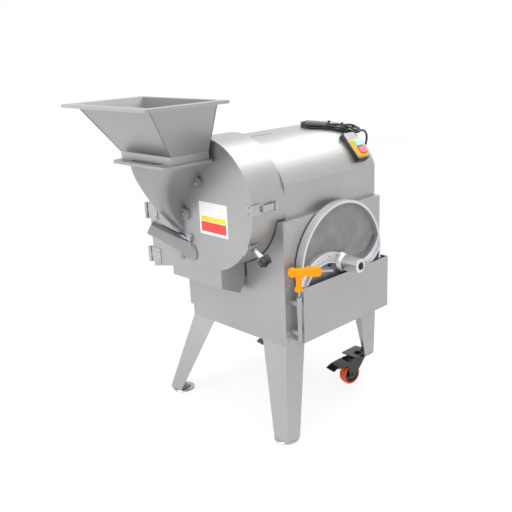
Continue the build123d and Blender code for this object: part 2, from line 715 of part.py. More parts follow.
def drum_housing():
    """Fixed drum: ring, rear plate, the flat ear behind the hinge side, and the clamp stud."""
    chute_x = (CHUTE_LEFT + CHUTE_RIM_GAP, CHUTE_RIGHT - CHUTE_RIM_GAP)
    ring = disc_profile(RING_RADIUS) - disc_profile(RING_INNER)
    mouth = span((chute_x[0], 400), (chute_x[1], DRUM_HEIGHT))
    housing = along_y(ring - mouth, HOUSING_FRONT, BULKHEAD_FACE)
    rear = disc_profile(RING_RADIUS) - span((chute_x[0], 400), (chute_x[1], CHUTE_TOP_HEIGHT))
    housing += along_y(rear, BULKHEAD_FACE - RING_SHEET, BULKHEAD_FACE)
    housing -= along_y(disc_profile(BEARING_BODY_RADIUS + SEAT_GAP), 0, BULKHEAD_FACE + 1)
    ear = door_outline(EAR_INSET)
    ear_walls = along_y(ear, HOUSING_FRONT, HOUSING_FRONT + EAR_DEPTH)
    ear_walls -= along_y(
        door_outline(EAR_INSET + SHEET), HOUSING_FRONT + EAR_SHEET, HOUSING_FRONT + EAR_DEPTH + 1
    )
    ear_walls -= along_y(disc_profile(RING_INNER), HOUSING_FRONT - 1, BULKHEAD_FACE)
    ear_walls -= along_y(
        span((CHUTE_LEFT, 400), (CHUTE_RIGHT, DRUM_HEIGHT)), HOUSING_FRONT - 1, BULKHEAD_FACE
    )
    return housing + ear_walls + clamp_stud()


def clamp_frame(radius):
    """Plane on the ring at the clamp: local Z points outward, local X along +Y."""
    angle = math.radians(CLAMP_ANGLE)
    outward = Vector(math.cos(angle), 0, math.sin(angle))
    origin = Vector(0, CLAMP_Y, DRUM_HEIGHT) + outward * radius
    return Plane(origin, x_dir=(0, 1, 0), z_dir=outward)


def clamp_stud():
    """Threaded stud welded to the ring, with a small pad."""
    base = clamp_frame(RING_RADIUS - 1)
    stud = base * (Pos(0, 0, CLAMP_STUD_LENGTH / 2) * Cylinder(CLAMP_STUD_RADIUS, CLAMP_STUD_LENGTH))
    pad = base * (Pos(0, 0, 1.5) * Cylinder(CLAMP_STUD_RADIUS + 4, 3))
    return stud + pad


def discharge_chute():
    """Discharge chute under the drum: two side walls and a back wall that slants forward."""
    left = CHUTE_LEFT + CHUTE_RIM_GAP
    right = CHUTE_RIGHT - CHUTE_RIM_GAP
    back_y = BULKHEAD_FACE - RING_SHEET
    wall = make_face(
        Polyline(
            (HOUSING_FRONT, CHUTE_FRONT_HEIGHT),
            (CHUTE_BACK_Y, CHUTE_BACK_HEIGHT),
            (back_y, CHUTE_TOP_HEIGHT),
            (back_y, DRUM_HEIGHT - 60),
            (HOUSING_FRONT, DRUM_HEIGHT - 60),
            close=True,
        )
    )
    chute = along_x(wall, left, right)
    slant_zone = block(
        (left, right), (HOUSING_FRONT, BULKHEAD_FACE), (CHUTE_BACK_HEIGHT - 1, CHUTE_TOP_HEIGHT)
    )
    hollow = make_face(
        Polyline(
            (HOUSING_FRONT - 1, CHUTE_FRONT_HEIGHT - 60),
            (CHUTE_BACK_Y - SHEET, CHUTE_BACK_HEIGHT - 60),
            (CHUTE_BACK_Y - SHEET, CHUTE_BACK_HEIGHT),
            (back_y - SHEET, CHUTE_TOP_HEIGHT),
            (back_y - SHEET, DRUM_HEIGHT),
            (HOUSING_FRONT - 1, DRUM_HEIGHT),
            close=True,
        )
    )
    chute -= along_x(hollow, left + SHEET, right - SHEET)
    back_zone = span((CHUTE_BACK_Y - SHEET, 0), (back_y, 2000))
    back_wall = chute & slant_zone & along_x(back_zone, left + SHEET, right - SHEET)
    chute -= along_y(disc_profile(RING_RADIUS), HOUSING_FRONT - 1, BULKHEAD_FACE + 1)
    return chute + back_wall


def door_pan():
    """Hinged door: flat front with a return rim, cut out for the throat and the feed tube."""
    outline = door_outline()
    pan = along_y(outline, DOOR_FRONT, DOOR_FRONT + DOOR_RIM_DEPTH)
    pan -= along_y(door_outline(SHEET), DOOR_BACK, DOOR_FRONT + DOOR_RIM_DEPTH + 1)
    pan -= block(
        (CHUTE_LEFT + SHEET, CHUTE_RIGHT - SHEET),
        (DOOR_BACK, DOOR_FRONT + DOOR_RIM_DEPTH + 1),
        (CHUTE_FRONT_HEIGHT - 1, CHUTE_FRONT_HEIGHT + 5),
    )
    pan -= throat_hollow()
    pan -= tube_hollow()
    return pan


def disc_casting():
    """Cutting disc about +Z: plate, deep rim, long tapered hub and two curved channel arms."""
    disc = along_z(Circle(DISC_RADIUS), 0, DISC_PLATE)
    rim = Circle(DISC_RADIUS) - Circle(DISC_RADIUS - DISC_RIM_WALL)
    disc += along_z(rim, 0, DISC_RIM_DEPTH)
    arm_top = DISC_PLATE + DISC_ARM_HEIGHT
    for turn in (0, 180):
        disc += Rot(0, 0, turn) * along_z(disc_arm(DISC_ARM_WIDTH), 0, arm_top)
    pocket = disc_arm(DISC_ARM_WIDTH - 2 * DISC_ARM_WALL) - Circle(DISC_HUB_BASE_RADIUS + DISC_ARM_WALL)
    for turn in (0, 180):
        disc -= Rot(0, 0, turn) * along_z(pocket, arm_top - DISC_ARM_POCKET, arm_top + 1)
        disc -= Rot(0, 0, turn) * disc_slot()
    hub = make_face(
        Polyline(
            (0, 0),
            (DISC_HUB_BASE_RADIUS, 0),
            (DISC_HUB_BASE_RADIUS, DISC_PLATE + 10),
            (DISC_HUB_END_RADIUS + 4, DISC_PLATE + 24),
            (DISC_HUB_END_RADIUS, DISC_HUB_LENGTH - 2),
            (DISC_HUB_END_RADIUS - 2, DISC_HUB_LENGTH),
            (0, DISC_HUB_LENGTH),
            close=True,
        )
    )
    disc += revolve(Plane.XZ * hub, Axis.Z)
    disc -= along_z(Circle(SPINDLE_RADIUS + RUNNING_FIT), -1, DISC_HUB_LENGTH + 1)
    keyway = block((-3, 3), (0, SPINDLE_RADIUS + 3.5), (DISC_PLATE, DISC_HUB_LENGTH + 1))
    return disc - keyway


def disc_arm(width):
    """Outline of a curved arm from the hub out to the rim, as an arc band cut by the disc's circle."""
    band = Circle(DISC_ARM_RADIUS + width / 2) - Circle(DISC_ARM_RADIUS - width / 2)
    band = Pos(DISC_ARM_RADIUS, 0) * band
    band &= span((-width, -DISC_RADIUS), (DISC_RADIUS, 0))
    return band & Circle(DISC_RADIUS - DISC_RIM_WALL + 2)


def disc_slot():
    """Cutting gap that follows the inner side of an arm."""
    radius = DISC_ARM_RADIUS - DISC_ARM_WIDTH / 2
    band = Circle(radius) - Circle(radius - DISC_SLOT_WIDTH)
    band = Pos(DISC_ARM_RADIUS, 0) * band
    band &= span((0, -DISC_RADIUS), (DISC_RADIUS, -DISC_HUB_END_RADIUS))
    band &= Circle(DISC_RADIUS - DISC_RIM_WALL - 4)
    band -= Circle(DISC_HUB_BASE_RADIUS + DISC_ARM_WALL)
    return along_z(band, -1, DISC_PLATE + 1)


def disc_blades():
    """Two curved blades under the arms, on the cutting face."""
    blades = []
    for turn in (0, 180):
        blade = disc_arm(DISC_ARM_WIDTH + 8) - Circle(DISC_HUB_BASE_RADIUS + 3)
        blades.append(Rot(0, 0, turn) * along_z(blade, -BLADE_THICKNESS - SEAT_GAP, -SEAT_GAP))
    return Compound(blades)


def drum_disc_place():
    """The disc in the drum: its hub points back to the cabinet."""
    return Pos(0, DISC_FACE_Y, DRUM_HEIGHT) * Rot(-90, 0, 0)


def rack_disc_place():
    """The spare disc in the rack: its hub points out to +X."""
    place = Pos(RACK_DISC_X, RACK_DISC_Y, RACK_DISC_HEIGHT)
    return place * Rot(0, 90, 0) * Rot(0, 0, RACK_DISC_TURN)


def throat_station(share):
    """Height, left, right and front of the funnel at a share of the way down to its tip."""
    height = THROAT_UNDERSIDE - share * THROAT_DEPTH
    left = THROAT_TOP_LEFT + share * (THROAT_TIP_LEFT - THROAT_TOP_LEFT)
    right = THROAT_TIP_RIGHT + (1 - share) ** 2 * (THROAT_TOP_RIGHT - THROAT_TIP_RIGHT)
    front = DOOR_FRONT - THROAT_TIP_REACH - THROAT_REACH * (1 - share**THROAT_FRONT_CURVE)
    return height, left, right, front


def throat_section(share, inset, height=None):
    """Outline of the funnel across its height, with round front corners, smaller by inset."""
    level, left, right, front = throat_station(share)
    back = DOOR_FRONT - inset
    outline = span((left + inset, front + inset), (right - inset, back))
    corner = min(THROAT_ROUNDING * (right - left), 0.8 * (back - front)) - inset
    outline = fillet(outline.vertices().group_by(Axis.Y)[0], corner)
    return Plane.XY.offset(level if height is None else height) * outline


def throat_hollow():
    """Passage of the throat, with the port through the door into the drum."""
    shares = [index / THROAT_STEPS for index in range(THROAT_STEPS)]
    hollow = loft([throat_section(share, THROAT_WALL) for share in shares])
    hollow += extrude(throat_section(0, THROAT_WALL), THROAT_FLANGE_THICKNESS + 1)
    sides = []
    for share in THROAT_PORT_SHARES:
        height, left, right, front = throat_station(share)
        sides.append((left + 2 * THROAT_WALL, right - 2 * THROAT_WALL, height))
    outline = [(right, height) for left, right, height in sides]
    outline += [(left, height) for left, right, height in reversed(sides)]
    port = make_face(Polyline(*outline, close=True))
    port = fillet(port.vertices().group_by(Axis.Y)[0], THROAT_WALL)
    return hollow + along_y(port, DOOR_FRONT - THROAT_WALL - 1, DOOR_BACK + 1)


def lug(x, height, radius, body_x):
    """Flat round ear on the door face, bridged sideways to the body."""
    ear = Pos(x, height) * Circle(radius)
    ear += span((min(x, body_x), height - radius), (max(x, body_x), height + radius))
    return along_y(ear, DOOR_FRONT - THROAT_LUG_THICKNESS, DOOR_FRONT)


def throat_lugs():
    """The ears of the throat: X, Z, radius and the X inside the body that each runs to."""
    upper, lower = throat_station(THROAT_LUG_UPPER), throat_station(THROAT_LUG_LOWER)
    return (
        (upper[2] + THROAT_LUG_STEP, upper[0], THROAT_LUG_RADIUS, upper[2] - THROAT_WALL),
        (lower[2] + THROAT_LUG_STEP, lower[0], THROAT_LUG_RADIUS, lower[2] - THROAT_WALL),
        (HINGE_LEAF_REACH + 15, lower[0], THROAT_LUG_SMALL, lower[1] + THROAT_WALL),
        (upper[1] - THROAT_LUG_SMALL, upper[0], THROAT_LUG_SMALL, upper[1] + THROAT_WALL),
    )


def funnel_throat():
    """Cast feed throat on the door face under the hopper, closed at the back but for its port."""
    shares = [index / THROAT_STEPS for index in range(THROAT_STEPS + 1)]
    body = loft([throat_section(share, 0) for share in shares])
    flange = span((THROAT_FLANGE_LEFT, THROAT_FLANGE_FRONT), (THROAT_FLANGE_RIGHT, THROAT_FLANGE_BACK))
    flange = chamfer(flange.vertices(), THROAT_FLANGE_THICKNESS)
    body += along_z(flange, THROAT_UNDERSIDE, THROAT_TOP)
    for place in throat_lugs():
        body += lug(*place)
    return body - throat_hollow()


def hopper():
    """Sheet hopper: flat rim with a turned-down lip, tapered bowl and a collar on the throat."""
    centre_y = (HOPPER_MOUTH_FRONT + HOPPER_MOUTH_BACK) / 2
    depth = HOPPER_MOUTH_BACK - HOPPER_MOUTH_FRONT
    neck_y = (HOPPER_NECK_FRONT + HOPPER_NECK_BACK) / 2
    neck_depth = HOPPER_NECK_BACK - HOPPER_NECK_FRONT

    def mouth(extra, height):
        outline = Rectangle(2 * HOPPER_MOUTH_HALF + 2 * extra, depth + 2 * extra)
        return Plane.XY.offset(height) * (Pos(HOPPER_CENTRE_X, centre_y) * outline)

    def neck(extra, height):
        outline = Rectangle(2 * HOPPER_NECK_HALF + 2 * extra, neck_depth + 2 * extra)
        return Plane.XY.offset(height) * (Pos(HOPPER_CENTRE_X, neck_y) * outline)

    def flange(inset):
        side = HOPPER_MOUTH_HALF + HOPPER_FLANGE - inset
        front = HOPPER_MOUTH_FRONT - HOPPER_FLANGE + inset
        back = HOPPER_MOUTH_BACK + HOPPER_BACK_FLANGE - inset
        return span((HOPPER_CENTRE_X - side, front), (HOPPER_CENTRE_X + side, back))

    rim = along_z(flange(0), HOPPER_TOP - HOPPER_LIP, HOPPER_TOP)
    rim = fillet(rim.edges().filter_by(Axis.Z), HOPPER_SHEET + 1)
    rim -= along_z(flange(HOPPER_SHEET), HOPPER_TOP - HOPPER_LIP - 1, HOPPER_TOP - HOPPER_SHEET)
    bowl = loft([neck(0, HOPPER_NECK_TOP), mouth(0, HOPPER_TOP)], ruled=True)
    collar = extrude(neck(0, THROAT_TOP), HOPPER_NECK_TOP - THROAT_TOP)
    wall = HOPPER_SHEET
    hollow = loft([neck(-wall, HOPPER_NECK_TOP), mouth(-wall, HOPPER_TOP)], ruled=True)
    hollow += extrude(mouth(-wall, HOPPER_TOP), 2)
    hollow += extrude(neck(-wall, THROAT_TOP - 1), HOPPER_NECK_TOP - THROAT_TOP + 1)
    return rim + bowl + collar - hollow


def tube_plane():
    """Plane at the door face centre of the feed tube, with Z along the tube."""
    return Plane((TUBE_BASE_X, DOOR_FRONT, TUBE_BASE_HEIGHT), z_dir=TUBE_DIRECTION)


def tube_hollow():
    """Bore of the feed tube, on through the door."""
    bore = tube_plane() * along_z(Circle(TUBE_RADIUS - TUBE_WALL), -TUBE_SPARE - 2, TUBE_REACH + 2)
    return bore & block((-400, 100), (-400, DOOR_BACK + 1), (400, 800))


def tube_screw_places():
    """X and Z of the two feed tube screws, on the long axis of its footprint."""
    along = Vector(TUBE_DIRECTION.X, 0, TUBE_DIRECTION.Z).normalized()
    reach = TUBE_SCREW_REACH
    return [
        (TUBE_BASE_X + along.Z * reach, TUBE_BASE_HEIGHT - along.X * reach),
        (TUBE_BASE_X - along.Z * reach, TUBE_BASE_HEIGHT + along.X * reach),
    ]


def feed_tube():
    """Slanted round tube for long produce, on an oval flange with two lugs."""
    tube = tube_plane() * along_z(Circle(TUBE_RADIUS), -TUBE_SPARE, TUBE_REACH)
    tube &= block((-400, 100), (-400, DOOR_FRONT), (400, 800))
    footprint = TUBE_RADIUS / abs(TUBE_DIRECTION.Y)
    tilt = math.degrees(math.atan2(TUBE_DIRECTION.Z, TUBE_DIRECTION.X))
    flange = Ellipse(footprint + TUBE_FLANGE_EDGE, TUBE_RADIUS + TUBE_FLANGE_EDGE)
    flange = Pos(TUBE_BASE_X, TUBE_BASE_HEIGHT) * Rot(0, 0, tilt) * flange
    for x, z in tube_screw_places():
        flange += Pos(x, z) * Circle(TUBE_LUG_RADIUS)
    lug_bar = Pos(TUBE_BASE_X, TUBE_BASE_HEIGHT) * Rot(0, 0, tilt)
    flange += lug_bar * Rectangle(2 * TUBE_LUG_RADIUS, 2 * TUBE_SCREW_REACH)
    tube += along_y(flange, DOOR_FRONT - TUBE_FLANGE_THICKNESS, DOOR_FRONT)
    return tube - tube_hollow()


def screw_head(x, y, z):
    """Domed screw head whose seat is at Y = y and whose top faces -Y."""
    head = along_y(Pos(x, z) * Circle(DOOR_SCREW_RADIUS), y - DOOR_SCREW_HEAD, y)
    head = fillet(head.edges().group_by(Axis.Y)[0], 2)
    recess = Plane((x, y - DOOR_SCREW_HEAD, z), z_dir=(0, -1, 0)) * RegularPolygon(2.4, 6)
    return head - extrude(recess, -2)


def door_screws():
    """Domed socket screws on the throat, the feed tube and the latch strike."""
    heads = []
    for x, z, radius, body_x in throat_lugs():
        x -= (radius - THROAT_LUG_SMALL) / 2
        heads.append(screw_head(x, DOOR_FRONT - THROAT_LUG_THICKNESS, z))
    for x, z in tube_screw_places():
        heads.append(screw_head(x, DOOR_FRONT - TUBE_FLANGE_THICKNESS, z))
    for z in (LATCH_HEIGHT + LATCH_SCREW_RISE, LATCH_HEIGHT - LATCH_SCREW_RISE):
        heads.append(screw_head(LATCH_STANDOFF - LATCH_SCREW_INSET, DOOR_FRONT - LATCH_SHEET, z))
    return Compound(heads)


def hinge_thirds(bottom):
    """Heights that divide a hinge into three knuckles, with running gaps."""
    third = HINGE_HEIGHT / 3
    return (
        (bottom, bottom + third - SEAT_GAP),
        (bottom + third, bottom + 2 * third),
        (bottom + 2 * third + SEAT_GAP, bottom + HINGE_HEIGHT),
    )


def hinge_door_leaves():
    """Hinge leaves on the door face, each with the middle knuckle."""
    leaves = []
    axis = Pos(HINGE_AXIS_X, HINGE_AXIS_Y)
    for bottom in (UPPER_HINGE_BOTTOM, LOWER_HINGE_BOTTOM):
        low, high = hinge_thirds(bottom)[1]
        leaf = block(
            (DOOR_HINGE_EDGE - 7, HINGE_LEAF_REACH),
            (DOOR_FRONT - HINGE_LEAF, DOOR_FRONT),
            (bottom, bottom + HINGE_HEIGHT),
        )
        leaf += along_z(axis * Circle(HINGE_KNUCKLE_RADIUS), low, high)
        leaf += block(
            (HINGE_AXIS_X, DOOR_HINGE_EDGE), (DOOR_FRONT - HINGE_LEAF, DOOR_FRONT), (low, high)
        )
        leaf -= along_z(axis * Circle(HINGE_PIN_RADIUS + RUNNING_FIT), low - 1, high + 1)
        for z in (bottom + 10, bottom + HINGE_HEIGHT - 10):
            place = Pos(HINGE_LEAF_REACH - 12, z)
            seat = DOOR_FRONT - HINGE_LEAF
            head = along_y(place * Circle(DOOR_SCREW_RADIUS), seat - 2.2, seat + 0.3)
            leaf += fillet(head.edges().group_by(Axis.Y)[0], 1)
        leaves.append(leaf)
    return Compound(leaves)


def hinge_frame_leaves():
    """Hinge leaves on the drum's ear: outer knuckles, pin and a leaf that steps back past the rim."""
    leaves = []
    axis = Pos(HINGE_AXIS_X, HINGE_AXIS_Y)
    ear_x = DOOR_HINGE_EDGE + EAR_INSET
    step_y = (HINGE_AXIS_Y + HINGE_KNUCKLE_RADIUS - 1, HINGE_AXIS_Y + HINGE_KNUCKLE_RADIUS + 1)
    leaf_x = (DOOR_HINGE_EDGE - 3, DOOR_HINGE_EDGE - 1)
    back_y = HOUSING_FRONT + EAR_DEPTH + 4
    for bottom in (UPPER_HINGE_BOTTOM, LOWER_HINGE_BOTTOM):
        z_range = (bottom, bottom + HINGE_HEIGHT)
        thirds = hinge_thirds(bottom)
        leaf = block(leaf_x, (step_y[0], back_y), z_range)
        joggle_y = (DOOR_FRONT + DOOR_RIM_DEPTH + 2, HOUSING_FRONT + EAR_DEPTH)
        leaf += block((leaf_x[0], ear_x), joggle_y, z_range)
        for low, high in (thirds[0], thirds[2]):
            leaf += along_z(axis * Circle(HINGE_KNUCKLE_RADIUS), low, high)
        leaf += block((HINGE_AXIS_X, leaf_x[0] + 1), step_y, z_range)
        clearance = along_z(axis * Circle(HINGE_KNUCKLE_RADIUS + SEAT_GAP), *thirds[1])
        leaf -= clearance
        leaf += along_z(axis * Circle(HINGE_PIN_RADIUS), bottom - 2, bottom + HINGE_HEIGHT + 2)
        leaves.append(leaf)
    return Compound(leaves)


def latch_strike():
    """Bent strip on the door: screwed to the front, with a tab back beside the drum."""
    half = LATCH_PLATE_HEIGHT / 2
    z_range = (LATCH_HEIGHT - half, LATCH_HEIGHT + half)
    front_y = DOOR_FRONT - LATCH_SHEET
    strike = block((LATCH_STANDOFF - 28, LATCH_STANDOFF), (front_y, DOOR_FRONT), z_range)
    tab_x = (LATCH_STANDOFF, LATCH_STANDOFF + LATCH_SHEET)
    strike += block(tab_x, (front_y, LATCH_TAB_BACK), z_range)
    return fillet(strike.edges().filter_by(Axis.Z).group_by(Axis.Y)[0].group_by(Axis.X)[-1], 2)


def latch_pivot():
    """Place of the latch lever's pivot on the X and Y plane."""
    return Pos(LATCH_STANDOFF + LATCH_PIVOT_STEP, LATCH_PIVOT_Y)


def latch_base():
    """Block on the drum ring with two ears and the pin of the latch lever."""
    half = LATCH_PLATE_HEIGHT / 2 - 2
    low, high = LATCH_HEIGHT - half, LATCH_HEIGHT + half
    base_y = (LATCH_PIVOT_Y - 14, LATCH_PIVOT_Y + 12)
    base = block((RING_INNER - 6, LATCH_STANDOFF + 2), base_y, (low, high))
    base -= along_y(disc_profile(RING_RADIUS), LATCH_PIVOT_Y - 20, LATCH_PIVOT_Y + 20)
    for ear_low in (low, high - 4):
        outline = latch_pivot() * Circle(LATCH_EAR_RADIUS)
        outline += span(
            (LATCH_STANDOFF, LATCH_PIVOT_Y - LATCH_EAR_RADIUS),
            (LATCH_STANDOFF + LATCH_PIVOT_STEP, LATCH_PIVOT_Y + LATCH_EAR_RADIUS),
        )
        base += along_z(outline, ear_low, ear_low + 4)
    base += along_z(latch_pivot() * Circle(LATCH_PIVOT_RADIUS), low - 1, high + 1)
    return base


def latch_lever():
    """Flat lever on the latch pin; its end laps over the strike's tab."""
    half = LATCH_PLATE_HEIGHT / 2 - 6 - SEAT_GAP
    low, high = LATCH_HEIGHT - half, LATCH_HEIGHT + half
    plate_x = LATCH_STANDOFF + LATCH_SHEET + 0.7
    lever = block((plate_x, plate_x + LATCH_SHEET), (LATCH_TAB_BACK - 6, LATCH_PIVOT_Y), (low, high))
    lever += along_z(latch_pivot() * Circle(4.5), low, high)
    tip = block((plate_x, plate_x + 7), (LATCH_TAB_BACK - 8, LATCH_TAB_BACK - 5.5), (low, high))
    lever += tip
    return lever - along_z(latch_pivot() * Circle(LATCH_PIVOT_RADIUS + RUNNING_FIT), low - 1, high + 1)


def clamp_tab():
    """Slotted tab on the door that straddles the clamp stud."""
    start = DOOR_FRONT - CLAMP_Y
    length = CLAMP_TAB_BACK - start
    tab = Pos((start + CLAMP_TAB_BACK) / 2, 0, 0) * Box(length, CLAMP_TAB_WIDTH, CLAMP_TAB_SHEET)
    slot_start = -CLAMP_SLOT_WIDTH / 2
    slot = Pos(slot_start + length / 2, 0, 0) * Box(length, CLAMP_SLOT_WIDTH, 4 * CLAMP_TAB_SHEET)
    nose = Pos(slot_start, 0, 0) * Cylinder(CLAMP_SLOT_WIDTH / 2, 4 * CLAMP_TAB_SHEET)
    tab = clamp_frame(DOOR_RADIUS + CLAMP_TAB_SHEET / 2 - 1) * (tab - slot - nose)
    return tab - along_y(disc_profile(DOOR_RADIUS), DOOR_FRONT - CLAMP_TAB_SHEET, 0)


def clamp_knob():
    """Star knob on the clamp stud, with a long collar that presses on the tab."""
    lobe = KNOB_RADIUS / 3
    outline = Circle(KNOB_RADIUS - lobe + 1)
    for index in range(KNOB_LOBES):
        outline += Rot(0, 0, 360 * index / KNOB_LOBES) * Pos(KNOB_RADIUS - lobe, 0) * Circle(lobe)
    knob = along_z(outline, KNOB_COLLAR_LENGTH, KNOB_COLLAR_LENGTH + KNOB_DEPTH)
    knob = fillet(knob.edges().group_by(Axis.Z)[-1], 1.5)
    knob += along_z(Circle(KNOB_COLLAR_RADIUS), 0, KNOB_COLLAR_LENGTH + 1)
    knob -= along_z(Circle(CLAMP_STUD_RADIUS + RUNNING_FIT), -1, KNOB_COLLAR_LENGTH + KNOB_DEPTH + 1)
    return clamp_frame(DOOR_RADIUS + CLAMP_TAB_SHEET) * knob


def pulley(radius, bore):
    """Grooved pulley about +Z, with a dished web."""
    half = PULLEY_WIDTH / 2
    profile = make_face(
        Polyline(
            (bore, -half),
            (radius, -half),
            (radius, -BELT_WIDTH / 2 - 1),
            (radius - PULLEY_GROOVE, -BELT_WIDTH / 2 - 0.4),
            (radius - PULLEY_GROOVE, BELT_WIDTH / 2 + 0.4),
            (radius, BELT_WIDTH / 2 + 1),
            (radius, half),
            (bore, half),
            close=True,
        )
    )
    return revolve(Plane.XZ * profile, Axis.Z)


def spindle_pulley():
    """Large driven pulley with a recessed web and lightening holes."""
    wheel = pulley(SPINDLE_PULLEY_RADIUS, SPINDLE_RADIUS + RUNNING_FIT)
    half = PULLEY_WIDTH / 2
    recess = Circle(SPINDLE_PULLEY_RADIUS - PULLEY_GROOVE - 9) - Circle(SPINDLE_RADIUS + 13)
    for low in (-half - 1, half - 9):
        wheel -= along_z(recess, low, low + 10)
    for index in range(5):
        place = Rot(0, 0, 360 * index / 5) * Pos(SPINDLE_PULLEY_RADIUS / 2 + 4, 0)
        wheel -= along_z(place * Circle(13), -half, half)
    return Pos(0, SPINDLE_PULLEY_MIDDLE, DRUM_HEIGHT) * Rot(-90, 0, 0) * wheel


def motor_pulley():
    """Small drive pulley, one piece with the motor shaft."""
    wheel = pulley(MOTOR_PULLEY_RADIUS, MOTOR_SHAFT_RADIUS - 1)
    shaft_start = MOTOR_START + MOTOR_LENGTH - 10
    shaft_end = PULLEY_START + PULLEY_WIDTH + 4
    place = Pos(0, SPINDLE_PULLEY_MIDDLE, MOTOR_HEIGHT) * Rot(-90, 0, 0)
    shaft = along_y(disc_profile(MOTOR_SHAFT_RADIUS, (0, MOTOR_HEIGHT)), shaft_start, shaft_end)
    return place * wheel + shaft


def drive_belt():
    """Flat belt round both pulleys, seated in their grooves."""
    inner = PULLEY_GROOVE - SEAT_GAP
    rings = []
    for extra in (BELT_THICKNESS, 0):
        large = SPINDLE_PULLEY_RADIUS - inner + extra
        small = MOTOR_PULLEY_RADIUS - inner + extra
        rings.append(belt_outline(large, small))
    middle = SPINDLE_PULLEY_MIDDLE
    return along_y(rings[0] - rings[1], middle - BELT_WIDTH / 2, middle + BELT_WIDTH / 2)


def belt_outline(large, small):
    """Filled outline round two circles on the drawing plane."""
    distance = DRUM_HEIGHT - MOTOR_HEIGHT
    lean = math.asin((large - small) / distance)
    c, s = math.cos(lean), math.sin(lean)
    quad = make_face(
        Polyline(
            (large * c, DRUM_HEIGHT + large * s),
            (small * c, MOTOR_HEIGHT + small * s),
            (-small * c, MOTOR_HEIGHT + small * s),
            (-large * c, DRUM_HEIGHT + large * s),
            close=True,
        )
    )
    return quad + disc_profile(large) + disc_profile(small, (0, MOTOR_HEIGHT))


def spindle_shaft():
    """Spindle through the bearing, with the disc's clamping nut at the front."""
    shaft = along_y(disc_profile(SPINDLE_RADIUS), DISC_FACE_Y + 4, PULLEY_START + PULLEY_WIDTH)
    nut = along_y(disc_profile(SPINDLE_RADIUS + 5), DISC_FACE_Y - 7, DISC_FACE_Y)
    nut = chamfer(nut.edges().group_by(Axis.Y)[0], 2)
    neck = along_y(disc_profile(SPINDLE_RADIUS - 2), DISC_FACE_Y - 1, DISC_FACE_Y + 6)
    return shaft + nut + neck


def bearing_housing():
    """Flanged bearing tube of the spindle, bolted behind the bulkhead."""
    start = BULKHEAD_FACE + BULKHEAD_SHEET
    body = along_y(disc_profile(BEARING_BODY_RADIUS), BEARING_NOSE_Y, BEARING_BODY_END)
    flange = along_y(disc_profile(BEARING_FLANGE_RADIUS), start, start + BEARING_FLANGE_DEPTH)
    body += fillet(flange.edges().group_by(Axis.Y)[-1], 2)
    for index in range(4):
        turn = math.radians(45 + 90 * index)
        x = 50 * math.cos(turn)
        z = DRUM_HEIGHT + 50 * math.sin(turn)
        back = start + BEARING_FLANGE_DEPTH
        body += along_y(Pos(x, z) * RegularPolygon(7, 6), back - 1, back + 5)
    bore = disc_profile(SPINDLE_RADIUS + RUNNING_FIT)
    return body - along_y(bore, BEARING_NOSE_Y - 1, BEARING_BODY_END + 1)


def motor():
    """Finned motor on two feet, with its terminal box."""
    centre = (0, MOTOR_HEIGHT)
    end = MOTOR_START + MOTOR_LENGTH
    body = along_y(disc_profile(MOTOR_RADIUS, centre), MOTOR_START, end)
    ends = body.edges().filter_by(GeomType.CIRCLE)
    body = fillet(ends, 6)
    fins = Pos(0, MOTOR_HEIGHT) * Circle(1)
    for index in range(MOTOR_FIN_COUNT):
        place = Pos(0, MOTOR_HEIGHT) * Rot(0, 0, 360 * index / MOTOR_FIN_COUNT + 9)
        fins += place * span((0, -1.5), (MOTOR_RADIUS + MOTOR_FIN_HEIGHT, 1.5))
    body += along_y(fins, MOTOR_START + 24, end - 24)
    half = MOTOR_BASE_WIDTH / 2
    foot_y = ((MOTOR_START + 24, MOTOR_START + 54), (end - 54, end - 24))
    for y_range in foot_y:
        foot = block((-half, half), y_range, (RAIL_TOP, RAIL_TOP + 8))
        foot += block((-half + 18, half - 18), y_range, (RAIL_TOP, MOTOR_HEIGHT - 40))
        body += foot
    box_z = (MOTOR_HEIGHT - 32, MOTOR_HEIGHT + 32)
    body += block((MOTOR_RADIUS - 14, MOTOR_RADIUS + 26), (end - 120, end - 50), box_z)
    bore = disc_profile(MOTOR_SHAFT_RADIUS + RUNNING_FIT, centre)
    return body - along_y(bore, end - 12, end + 1)


def rack_pocket():
    """Sheet pocket on the right side that holds the spare disc on edge."""
    outer_x = (RACK_PLATE_X, RACK_PLATE_X + RACK_SHEET)
    y_range = (RACK_PLATE_FRONT, RACK_PLATE_BACK)
    rack = block(outer_x, y_range, (RACK_PLATE_BOTTOM, RACK_PLATE_TOP))
    side_x = (HALF_FRONT, outer_x[1])
    rack += block(side_x, (y_range[0], y_range[0] + RACK_SHEET), (RACK_PLATE_BOTTOM, RACK_PLATE_TOP))
    rack += block(side_x, (y_range[1] - RACK_SHEET, y_range[1]), (RACK_PLATE_BOTTOM, RACK_PLATE_TOP))
    floor_top = RACK_DISC_HEIGHT - DISC_RADIUS - SEAT_GAP
    rack += block(side_x, y_range, (floor_top - RACK_SHEET, floor_top))
    return rack


def tool_holder():
    """Two-step tube for the hex key, on two straps from the side cover."""
    place = Pos(HOLDER_X, HOLDER_Y)
    holder = along_z(place * Circle(HOLDER_RADIUS), HOLDER_STEP, HOLDER_TOP)
    holder += along_z(place * Circle(HOLDER_LOWER_RADIUS), HOLDER_BOTTOM, HOLDER_STEP)
    for height in (HOLDER_TOP - 24, HOLDER_BOTTOM + 24):
        holder += block((HALF_FRONT, HOLDER_X), (HOLDER_Y - 3, HOLDER_Y + 3), (height - 7, height + 7))
    bore = place * Circle(KEY_ROD_RADIUS + SEAT_GAP)
    return holder - along_z(bore, HOLDER_BOTTOM + HOLDER_FLOOR, HOLDER_TOP + 1)


def key_frame():
    """Frame at the key's T: local X runs along the handle, local Z up."""
    return Pos(HOLDER_X, HOLDER_Y, KEY_HANDLE_HEIGHT) * Rot(0, 0, KEY_TURN)


